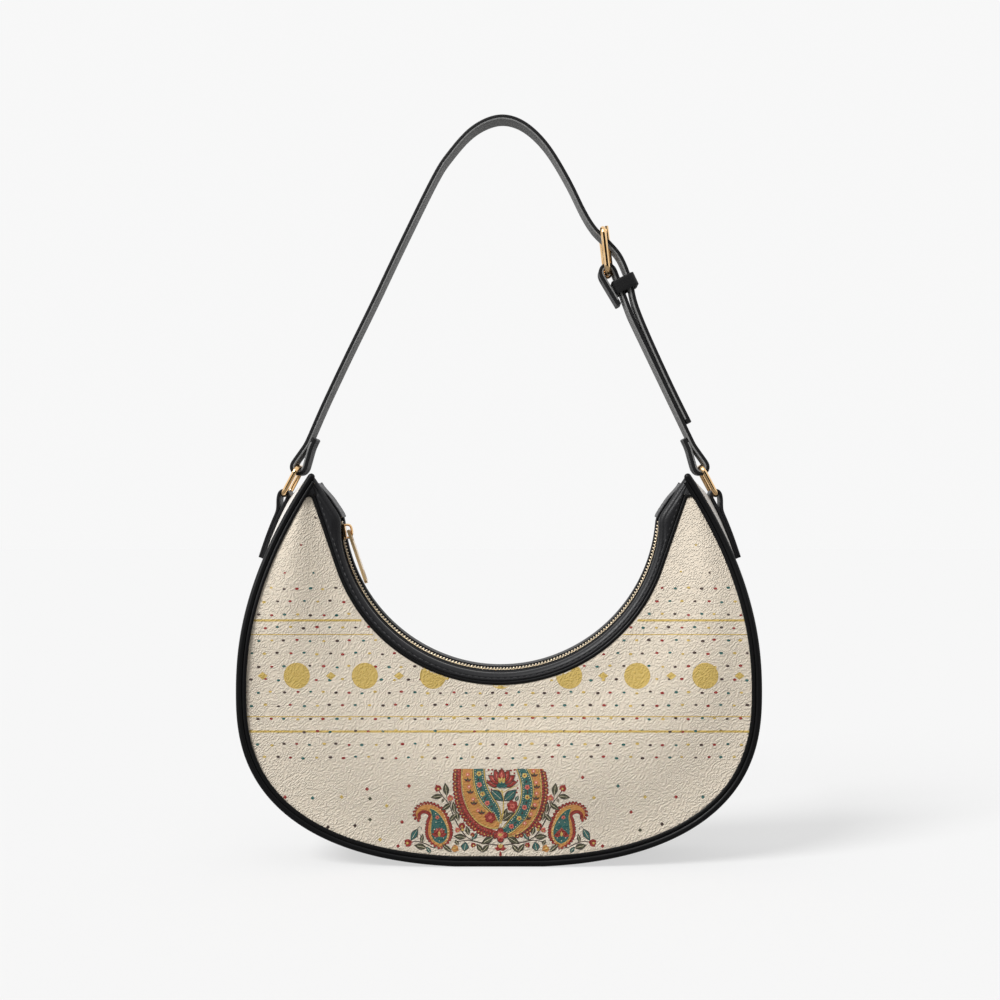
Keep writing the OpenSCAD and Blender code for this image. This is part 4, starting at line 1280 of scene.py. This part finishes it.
# The lotus, its stem and the leaves in the middle field
lotus = {
    "x": 712, "y": 205, "turns": (8, 172, 34, 146, 62, 118, 90), "petal": 100, "wide": 42,
    "lowReach": 0.56, "reach": 0.6, "innerReach": 1.05, "innerLong": 7 / 15, "innerWide": 7 / 19,
}
x, y, length, wide = [lotus[key] for key in ("x", "y", "petal", "wide")]
innerLong, innerWide = length * lotus["innerLong"], wide * lotus["innerWide"]
for k, turn in enumerate(lotus["turns"]):
    reach = length * lotus["lowReach" if k < 2 else "reach"]
    inner = reach * lotus["innerReach"]
    fanOn("red", 2 + 2 * k, x, y, [turn], (reach, reach), length, wide, "pink")
    fanOn("pink", 4 + 2 * k, x, y, [turn], (inner, inner), innerLong, innerWide)
fanOn("gold", 17, x, y, (65, 115, 90), (24, 24), 60, 20)
fanOn("teal", 18, x, y + 18, (20, 160, 90, 55, 125), (20, 18), 44, 20)
lotusStems = [
    [(712, 240, 4), (722, 300, 4), (724, 370, 5), (716, 430, 6), (704, 480, 5)],
    [(722, 262, 3), (660, 230, 3), (612, 212, 2)],
    [(722, 262, 3), (775, 232, 3), (822, 212, 2)],
]
fieldLeaves = [
    (680, 284, -42, 108, 46, "teal"), (772, 282, 42, 108, 46, "teal"), (757, 430, 35, 90, 36, "olive"),
    (818, 305, 60, 40, 18, "teal"), (740, 400, 75, 50, 20, "olive"),
]
fieldDots = [
    (625, 150), (612, 178), (640, 130), (800, 128), (822, 180), (824, 232), (818, 262), (640, 240),
    (660, 330), (690, 365), (680, 345), (770, 320), (800, 400),
]
for stem in lotusStems:
    bandOn("gold", 1, stem, rows=1)
for x, y, turn, length, wide, ink in fieldLeaves:
    leafOn(ink, 2, x, y, turn, length, wide, "cream")
blossomOn(787, 357, 42, "red", "pink", 6, layer=2)
blossomOn(787, 357, 20, "pink", "red", 5, layer=5)
blossomOn(632, 436, 42, "red", "pink", 6, layer=6)
for x, y in fieldDots:
    beadOn("red", 1, x, y, 6.65)
for x in range(620, 840, 26):
    bead("red", 1, *grid(x, 108 + 5 * math.sin(x)), 1.2, 1.0)

# The flower and the bud below
lowFlower = {"x": 703, "y": 560, "heart": 9.8, "budAt": 664, "innerAt": 650, "stalkAt": 694}
x, y = lowFlower["x"], lowFlower["y"]
blossomOn(x, y, 56, "brown", "gold", 4, layer=8, turn=0.0)
blossomOn(x, y, 49, "red", "gold", 4, layer=9, turn=0.0)
blossomOn(x, y, 28, "pink", "teal", 4, layer=10, turn=0.785)
beadOn("gold", 12, x, y, lowFlower["heart"])
fanOn("red", 3, x, lowFlower["budAt"], (20, 160, 55, 125, 90), (22, 20), 46, 20)
fanOn("gold", 4, x, lowFlower["innerAt"], (60, 90, 120), (14, 14), 34, 13)
leafOn("red", 3, x, lowFlower["stalkAt"], 90, 44, 16)

# The two small paisleys and the sprays, mirrored about the middle line
hook = [
    (280, 652, 6), (279, 627, 46), (277, 592, 76), (274, 545, 90), (269, 490, 84), (265, 440, 69),
    (252, 405, 55), (226, 381, 43), (190, 368, 36), (153, 372, 30), (126, 394, 25), (117, 422, 20),
    (128, 446, 14), (143, 452, 5),
]
drop = [
    (280, 620, 4), (279, 600, 36), (277, 565, 54), (273, 520, 56), (264, 470, 44), (252, 430, 28),
    (232, 398, 15), (212, 378, 3),
]
dropDots = [(246, 580), (305, 580), (276, 600), (240, 520), (308, 520), (252, 470), (292, 470), (250, 410)]
stems = [
    [(693, 632, 4), (620, 622, 4), (553, 612, 4), (490, 598, 4), (440, 600, 3), (380, 614, 3)],
    [
        (520, 604, 3), (470, 575, 3), (438, 540, 4), (400, 480, 4), (372, 420, 4), (345, 350, 3),
        (300, 290, 3), (268, 246, 3),
    ],
    [(330, 330, 2), (325, 270, 2), (322, 220, 2)],
    [(303, 650, 3), (235, 648, 3), (180, 622, 4), (120, 605, 3), (70, 612, 3)],
    [(162, 616, 2), (150, 580, 2), (140, 555, 2)],
    [(125, 580, 2), (118, 530, 2), (135, 503, 2), (152, 512, 2), (146, 522, 2)],
    [(453, 600, 2), (450, 625, 2)],
]
leaves = [
    (322, 240, 82, 84, 34, "olive"), (258, 291, -8, 78, 30, "olive"), (325, 362, -35, 78, 28, "olive"),
    (378, 366, 82, 76, 28, "olive"), (368, 440, -48, 66, 26, "olive"), (402, 425, 78, 64, 26, "olive"),
    (473, 528, 75, 60, 26, "olive"), (420, 572, 5, 80, 34, "olive"), (522, 570, -50, 60, 26, "teal"),
    (612, 597, -30, 92, 38, "olive"), (557, 650, 52, 68, 28, "olive"), (597, 655, -48, 68, 28, "olive"),
    (327, 650, 40, 84, 26, "olive"), (455, 640, 100, 60, 44, "teal"), (398, 612, 60, 40, 22, "olive"),
    (100, 558, -60, 88, 38, "teal"), (154, 582, 100, 58, 22, "olive"), (142, 640, 12, 80, 36, "olive"),
    (200, 664, 55, 50, 24, "teal"), (300, 318, -70, 30, 14, "olive"), (350, 330, -60, 40, 14, "brown"),
]
buds = [
    (264, 230, 27, "red", 60), (352, 298, 24, "pink", 80), (436, 492, 25, "red", 110),
    (402, 523, 20, "pink", 60), (508, 556, 16, "red", 110), (512, 628, 20, "red", 60),
    (388, 656, 28, "ochre", 210), (60, 614, 30, "red", 165), (440, 520, 12, "gold", 90),
]
for side in (1, -1):
    bandOn("red", 0, hook, side=side, rows=6)
    for flank in (-1, 1):
        beadsOn("brown", 0, hook, 10.5, 17, side, flank=flank)
        beadsOn("red", 1, hook, 8, 17, side, flank=flank)
    bandOn("ochre", 1, hook, -15, side, rows=6)
    beadsOn("red", 2, hook, 4.5, 22, side, flank=0.62)
    beadsOn("cream", 2, hook, 3.5, 18, side, flank=-0.72)
    bandOn("gold", 2, drop, 5, side, rows=4)
    bandOn("teal", 3, drop, 0, side, rows=4)
    fanOn("red", 4, 275, 566, (15, 165, 45, 135, 90), (26, 30), 60, 26, side=side)
    fanOn("pink", 4, 275, 566, (68, 112), (26, 30), 60, 26, side=side)
    leafOn("gold", 5, 275, 552, 90, 40, 16, side=side)
    blossomOn(262, 436, 15, "pink", "red", layer=4, side=side)
    for x, y in dropDots:
        beadOn("cream", 4, x, y, 3.5, side)
    for stem in stems:
        bandOn("brown", 0, stem, side=side, rows=1)
    for x, y, turn, length, wide, ink in leaves:
        leafOn(ink, 1, x, y, turn if side == 1 else 180 - turn, length, wide, "cream", side, plump=1)
    for x, y, r, ink, turn in buds:
        bud(*grid(x, y, side), r / ornament["fine"], ink, turn if side == 1 else 180 - turn)
for ink, bm in inkMesh.items():
    addPiece("print" + ink.capitalize(), bm, [printInks[ink]], turn=False)
print("print done")


# Linings, inside the leather
lining = {
    "inset": 2.2, "thick": 0.6, "share": 0.9, "cols": 60, "rows": 16,
    "gussetInset": 5.3, "gussetRows": 6, "gussetNarrow": 0.96, "baseLift": 1,
}
stations = crowded(lining["cols"], lining["share"], 0)
for side, name in bothSides:
    name += "_lining"
    bm = bmesh.new()
    shares = lerps(0, 1, lining["rows"])
    skin(bm, capped([panelRing(u, shares, lining["inset"], lining["thick"], side) for u in stations]))
    addPiece(name + "Cloth", bm, [liningCloth], stands=[name])
bm = bmesh.new()
rings = []
for u in stations:
    sizes = [lining[key] for key in ("gussetInset", "thick", "gussetRows")]
    halfWidth = halfDepth(u) - gusset["sideGap"]
    rings.append(gussetRing(u, *sizes, halfWidth, lining["gussetNarrow"], lining["baseLift"]))
skin(bm, capped(rings))
addPiece("gusset_liningCloth", bm, [liningCloth], stands=["gusset_lining"])
keepSolid("base_stiffener", boardFibre, 0.3)
print("body done")

# Rings and the tabs that hold them
hardware = {
    "ringWire": 3.0, "ringLength": 19.2, "ringCorner": 4.2, "ringLean": 27.9, "strapWidth": 18, "room": 2.5,
    "seat": 0.881, "play": 0.6, "gap": 0.3, "layer": 0.1,
}
ringTab = {
    "thick": 1.7, "length": 38, "rise": 0.95, "edge": 0.5, "round": 0.3, "closes": 0.28,
    "steps": 20, "step": 0.8,
    "stitch": 2.6, "stitchIn": 2.0, "stitchReach": 7, "stitchShare": 0.36,
}
ringSeat = lerp(bag["lowShare"], 1, hardware["seat"])
tabShare = hardware["seat"] - ringTab["rise"] * ringTab["length"] / (bag["height"] - bag["wideAt"])
tabEnd = lerp(bag["lowShare"], 1, tabShare)
loopRadius = hardware["ringWire"] / 2 + hardware["play"] + ringTab["thick"] / 2
ringLow = outlineOff(ringSeat, gussetBulge(ringSeat) + loopRadius + ringTab["thick"] / 2 + hardware["gap"])
leanAngle = math.radians(hardware["ringLean"])
ringTop = ringLow + heading(math.pi / 2 + leanAngle) * hardware["ringLength"]


# A loop's corners: side and rise, first angle, and side and rise of the middle of the run after it
loopCorners = ((1, 0, -90, 1, 0.5), (1, 1, 0, 0, 1), (-1, 1, 90, -1, 0.5), (-1, 0, 180, 0, 0))


def wireLoop(bm, low, lean, width, length, wire, corner, end=1):
    # a closed rounded rectangle of round wire, from the middle of its low bar; end -1 mirrors it
    up = Vector((-end * math.sin(lean), 0, math.cos(lean)))
    face = up.cross(depthWay)
    base = upright(Vector((end * low.x, low.y)))
    stations = []
    for sy, sz, start, nextSide, nextRise in loopCorners:
        rise = corner if sz == 0 else length - corner
        centre = base + depthWay * sy * (width / 2 - corner) + up * rise
        for a in lerps(math.radians(start), math.radians(start + 90), 10):
            out = depthWay * math.cos(a) + up * math.sin(a)
            stations.append((centre + out * corner, out, face))
        stations.append((base + depthWay * nextSide * width / 2 + up * length * nextRise, out, face))
    sweep(bm, stations, roundSection(wire / 2, 20), loop=True)


def tabPoint(t, rise):
    # a point of the tab's strip on the gusset, from the ring's seat at t = 0 down to the tab's end
    u = lerp(ringSeat, tabEnd, t)
    return outlineOff(u, gussetBulge(u) + hardware["gap"] + ringTab["thick"] / 2 + rise)


for end, name in ((-1, "left"), (1, "right")):
    ring = [hardware[key] for key in ("ringLength", "ringWire", "ringCorner")]
    width = hardware["strapWidth"] + hardware["room"] + hardware["ringWire"]
    bm = bmesh.new()
    wireLoop(bm, ringLow, leanAngle, width, *ring, end)
    addPiece(name + "_ringWire", bm, [goldMetal], "ring_" + name, [name + "_ring"])

    normal = outlineOut(ringSeat)
    start = math.atan2(-normal.y, -normal.x)
    down = lerps(0, 1, ringTab["steps"], 1)
    closed = ringTab["thick"] + hardware["layer"]
    line = [tabPoint(t, 0) for t in reversed(down)]
    line += [ringLow + heading(a) * loopRadius for a in lerps(start, start - math.pi, ringTab["steps"])]
    line += [tabPoint(t, lerp(2 * loopRadius, closed, ease(0, ringTab["closes"], t))) for t in down]
    line = [Vector((end * p.x, p.y)) for p in relaxed(evenly(line, ringTab["step"]), 3)]
    bm = bmesh.new()
    section = stripSection(ringTab["thick"], hardware["strapWidth"], ringTab["edge"])
    sweep(bm, alongPlane(line), section, taper=ringTab["round"])
    tab = name + "_ring_tab"
    addPiece(tab + "Leather", bm, [trimLeather], stands=[tab], sharp=60)
    bm = bmesh.new()
    marks = alongPlane(line)
    marks = marks[-int(len(marks) * ringTab["stitchShare"]):-3]
    marks = [(p, a * math.copysign(1, a.x * end)) for p, a, b in marks]
    marks = [(p + a * ringTab["thick"] / 2, a) for p, a in marks]
    for flank in (-1, 1):
        aside = depthWay * flank * (hardware["strapWidth"] / 2 - ringTab["stitchIn"])
        places = evenly([p + aside for p, a in marks], stitchStep)
        stitchRow(bm, places, [marks[4][1]] * len(places), ringTab["stitch"])
    for place, up in (marks[1], marks[-2]):
        stitchAcross(bm, place, up, ringTab["stitchReach"], ringTab["stitch"])
    addPiece(tab + "Stitches", bm, [litBlackThread])
print("rings and tabs done")

# Straps, in the upright plane. Their lists hold places as shares or in millimetres from the piece they pass
strap = {
    "width": 18, "thick": 3.0, "edge": 0.55, "round": 0.5, "eased": 0.36, "rise": 215.4, "lean": 25.6,
    "shortLength": 133, "tail": 105, "foldReach": 14, "foldBack": 20, "heelReach": 30, "heelBack": 21,
    "crossUp": 17.2, "shoulderOut": 11, "shoulderUp": 4.7, "step": 0.9,
    "leftSide": [(14, 0), (20, 0.05), (42, 0.8), (75, 0.95), (112, 0.6), (150, 0.7)],
    "crown": [
        (-0.326, 0.826), (-0.250, 0.894), (-0.147, 0.960), (-0.042, 0.9935),
        (0.0515, 0.996), (0.146, 0.969), (0.242, 0.911), (0.340, 0.818),
    ],
    "approach": [(1.443, -0.385), (1.015, -0.175)],
    "tailOff": [(0.095, 1.76), (0.2, 0.9), (0.28, 0.5), (0.45, 0.18), (0.75, 0), (1, 0.1)],
    "stitch": 2.6, "stitchReach": 7.4, "stitchDown": (2.0, 5.2), "stitchOut": 0.02,
}
buckle = {
    "wire": 3.6, "length": 26.4, "lean": 6.6, "tongue": 1.1, "restGap": 0.15,
    "hole": 3.4, "holeStep": 20, "holeDeep": 12, "moreHoles": (2, 3, 4), "slotRoom": 1, "slot": 2.8,
}
strapLean, buckleLean = math.radians(strap["lean"]), math.radians(buckle["lean"])
layerHalf = (strap["thick"] + hardware["layer"]) / 2
foldRoom = hardware["play"] + strap["thick"] / 2 + strap["eased"]
ringFold, heelFold = hardware["ringWire"] / 2 + foldRoom, buckle["wire"] / 2 + foldRoom
rightDir, rightOut = heading(math.pi / 2 + strapLean), heading(strapLean)
leftDir, leftOut = heading(math.pi / 2 - strapLean), heading(math.pi - strapLean)
buckleDir, buckleOut = heading(math.pi / 2 + buckleLean), heading(buckleLean)
leftTop = Vector((-ringTop.x, ringTop.y))
heel = ringTop + rightDir * strap["shortLength"]


def foldPath(centre, way, r, side, reach, back, turn, steps=36):
    # from the free layer round a bar and along the other layer; side is their distance from the middle
    out = Vector((way.y, -way.x)) * turn
    g = math.atan2(side, reach) + math.acos(r / math.hypot(reach, side))
    made = [centre + way * reach + out * side]
    made += [centre + (way * math.cos(a) + out * math.sin(a)) * r for a in lerps(g, 2 * math.pi - g, steps)]
    if back > reach:
        return made + [centre + way * reach - out * side, centre + way * back - out * side]
    near = heading(g) * r
    return made + [centre + way * back - out * lerp(near.y, side, (back - near.x) / (reach - near.x))]


ringFolds = (ringFold, layerHalf, strap["foldReach"], strap["foldBack"])
shortLine = foldPath(ringTop, rightDir, *ringFolds, 1)[::-1]
shortLine += foldPath(heel, -rightDir, heelFold, layerHalf, strap["heelReach"], strap["heelBack"], -1)
shortLine = relaxed(evenly(shortLine, strap["step"]), 6)
tongueSide = buckle["wire"] / 2 + buckle["restGap"] + buckle["tongue"]
tailSide = layerHalf + strap["thick"] + hardware["gap"]
onTongue = heel + buckleOut * tongueSide
route = [leftTop + leftDir * d + leftOut * (layerHalf + bow) for d, bow in strap["leftSide"]]
route += [Vector((x * ringTop.x, ringTop.y + z * strap["rise"])) for x, z in strap["crown"]]
route += [heel + (buckleDir * x + buckleOut * z) * buckle["length"] for x, z in strap["approach"]]
route.append(onTongue + buckleDir * strap["crossUp"])
route.append(heel + rightOut * strap["shoulderOut"] + rightDir * strap["shoulderUp"])
for x, z in strap["tailOff"]:
    route.append(heel - rightDir * x * strap["tail"] + rightOut * (tailSide + z * strap["thick"]))
leftFold = foldPath(leftTop, leftDir, *ringFolds, -1)
longLine = relaxed(evenly(leftFold[1:][::-1] + smoothRoute(route, 10), strap["step"]), 6)


def holeCutter(cutters):
    # round bars, each as (place, way, radius, depth)
    cutMesh = bmesh.new()
    for place, way, radius, depth in cutters:
        turn = Matrix.Translation(place * mm) @ way.to_track_quat("Z", "Y").to_matrix().to_4x4()
        sizes = {"radius1": radius * mm, "radius2": radius * mm, "depth": depth * mm}
        bmesh.ops.create_cone(cutMesh, cap_ends=True, segments=24, matrix=turn, **sizes)
    data = bpy.data.meshes.new("cutter")
    cutMesh.to_mesh(data)
    cutMesh.free()
    cutter = bpy.data.objects.new("cutter", data)
    scene.collection.objects.link(cutter)
    return cutter


def cutHoles(piece, cutters):
    cutter = holeCutter(cutters)
    cut = piece.modifiers.new("holes", "BOOLEAN")
    cut.object = cutter
    cut.operation = "DIFFERENCE"
    cut.solver = "EXACT"
    bpy.context.view_layer.update()
    held = piece.evaluated_get(bpy.context.evaluated_depsgraph_get())
    made = bpy.data.meshes.new_from_object(held)
    piece.modifiers.clear()
    piece.data = made
    bpy.data.objects.remove(cutter)
    for face in made.polygons:
        face.use_smooth = True


holeRadius = buckle["hole"] / 2
holes = []
for k in buckle["moreHoles"]:
    place = heel - rightDir * buckle["holeStep"] * k + rightOut * tailSide
    holes.append((upright(place), upright(rightOut), holeRadius, buckle["holeDeep"]))
tongueHole = onTongue + buckleDir * buckle["length"] / 2
holes.append((upright(tongueHole), upright(buckleDir), holeRadius, buckle["length"]))
slotCut = [(upright(heel), depthWay, heelFold + strap["thick"] / 2 + buckle["slotRoom"], buckle["slot"])]

# Both straps, and their grey backing, let in between the painted edges
backing = {"width": 18.08, "thick": 1.3, "lift": 0.88, "edge": 0.4, "short": 3}
straps = (("long_strap", longLine, 1, holes), ("short_strap", shortLine, -1, slotCut))
section = stripSection(strap["thick"], strap["width"], strap["edge"])
backingSection = stripSection(backing["thick"], backing["width"], backing["edge"], turns=2)
for name, line, inward, cutters in straps:
    bm = bmesh.new()
    sweep(bm, alongPlane(line), section, taper=strap["round"])
    piece = addPiece(name + "Leather", bm, [strapLeather], "strap", [name], sharp=60)
    cutHoles(piece, cutters)
for name, line, inward, cutters in straps:
    bm = bmesh.new()
    sweep(bm, alongPlane(line[backing["short"]:-backing["short"]], backing["lift"] * inward), backingSection)
    piece = addPiece(name + "Backing", bm, [strapBacking], "strap")
    cutHoles(piece, cutters)

# Stitches across the folds
folds = (
    (leftTop, leftDir, leftOut, strap["foldBack"]),
    (ringTop, rightDir, rightOut, strap["foldBack"]),
    (heel, -rightDir, rightOut, strap["heelBack"]),
)
lift = layerHalf + strap["thick"] / 2 + strap["stitchOut"]
bm = bmesh.new()
for centre, way, out, back in folds:
    for down in strap["stitchDown"]:
        for face in (-1, 1):
            place = upright(centre + way * (back - down) + out * face * lift)
            stitchAcross(bm, place, upright(out) * face, strap["stitchReach"], strap["stitch"])
addPiece("strapStitches", bm, [litBlackThread], "strap")

# Buckle frame, tongue and keeper
buckleWidth, buckleCorner = strap["width"] + hardware["room"] + buckle["wire"], 3.6
bm = bmesh.new()
wireLoop(bm, heel, buckleLean, buckleWidth, buckle["length"], buckle["wire"], buckleCorner)
addPiece("buckle_frameWire", bm, [goldMetal], "buckle", ["buckle_frame"])
keepSolid("buckle_tongue", goldMetal, 0.25)

keeper = {"thick": 1.5, "from": 6.6, "length": 8.5, "room": 0.4, "corner": 1.7, "edge": 0.5}
keeperOuter = tailSide + (strap["tailOff"][0][1] + 0.5) * strap["thick"] + 3 * hardware["gap"]
centre = upright(heel - rightDir * (keeper["from"] + keeper["length"] / 2))
outward = upright(rightOut)
halfWidth = strap["width"] / 2 + keeper["room"] + keeper["thick"] / 2 - keeper["corner"]
stations = []
for sx, sy, start in corners:
    x = keeperOuter + keeper["thick"] / 2 - keeper["corner"] if sx == 1 else keeper["corner"]
    for a in lerps(math.radians(start), math.radians(start + 90), 8):
        way = outward * math.cos(a) + depthWay * math.sin(a)
        place = centre + outward * x + depthWay * sy * halfWidth + way * keeper["corner"]
        stations.append((place, way, upright(rightDir)))
bm = bmesh.new()
sweep(bm, stations, stripSection(keeper["thick"], keeper["length"], keeper["edge"], flats=4), loop=True)
addPiece("strap_keeperLeather", bm, [strapLeather], "keeper", ["strap_keeper"], sharp=60)
print("straps done")

# Sizes of the imported solids and of the pieces the scene shows
low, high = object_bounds()
sizes = {"cad": [list(solidBox[0]), list(solidBox[1])], "visual": [list(low), list(high)]}
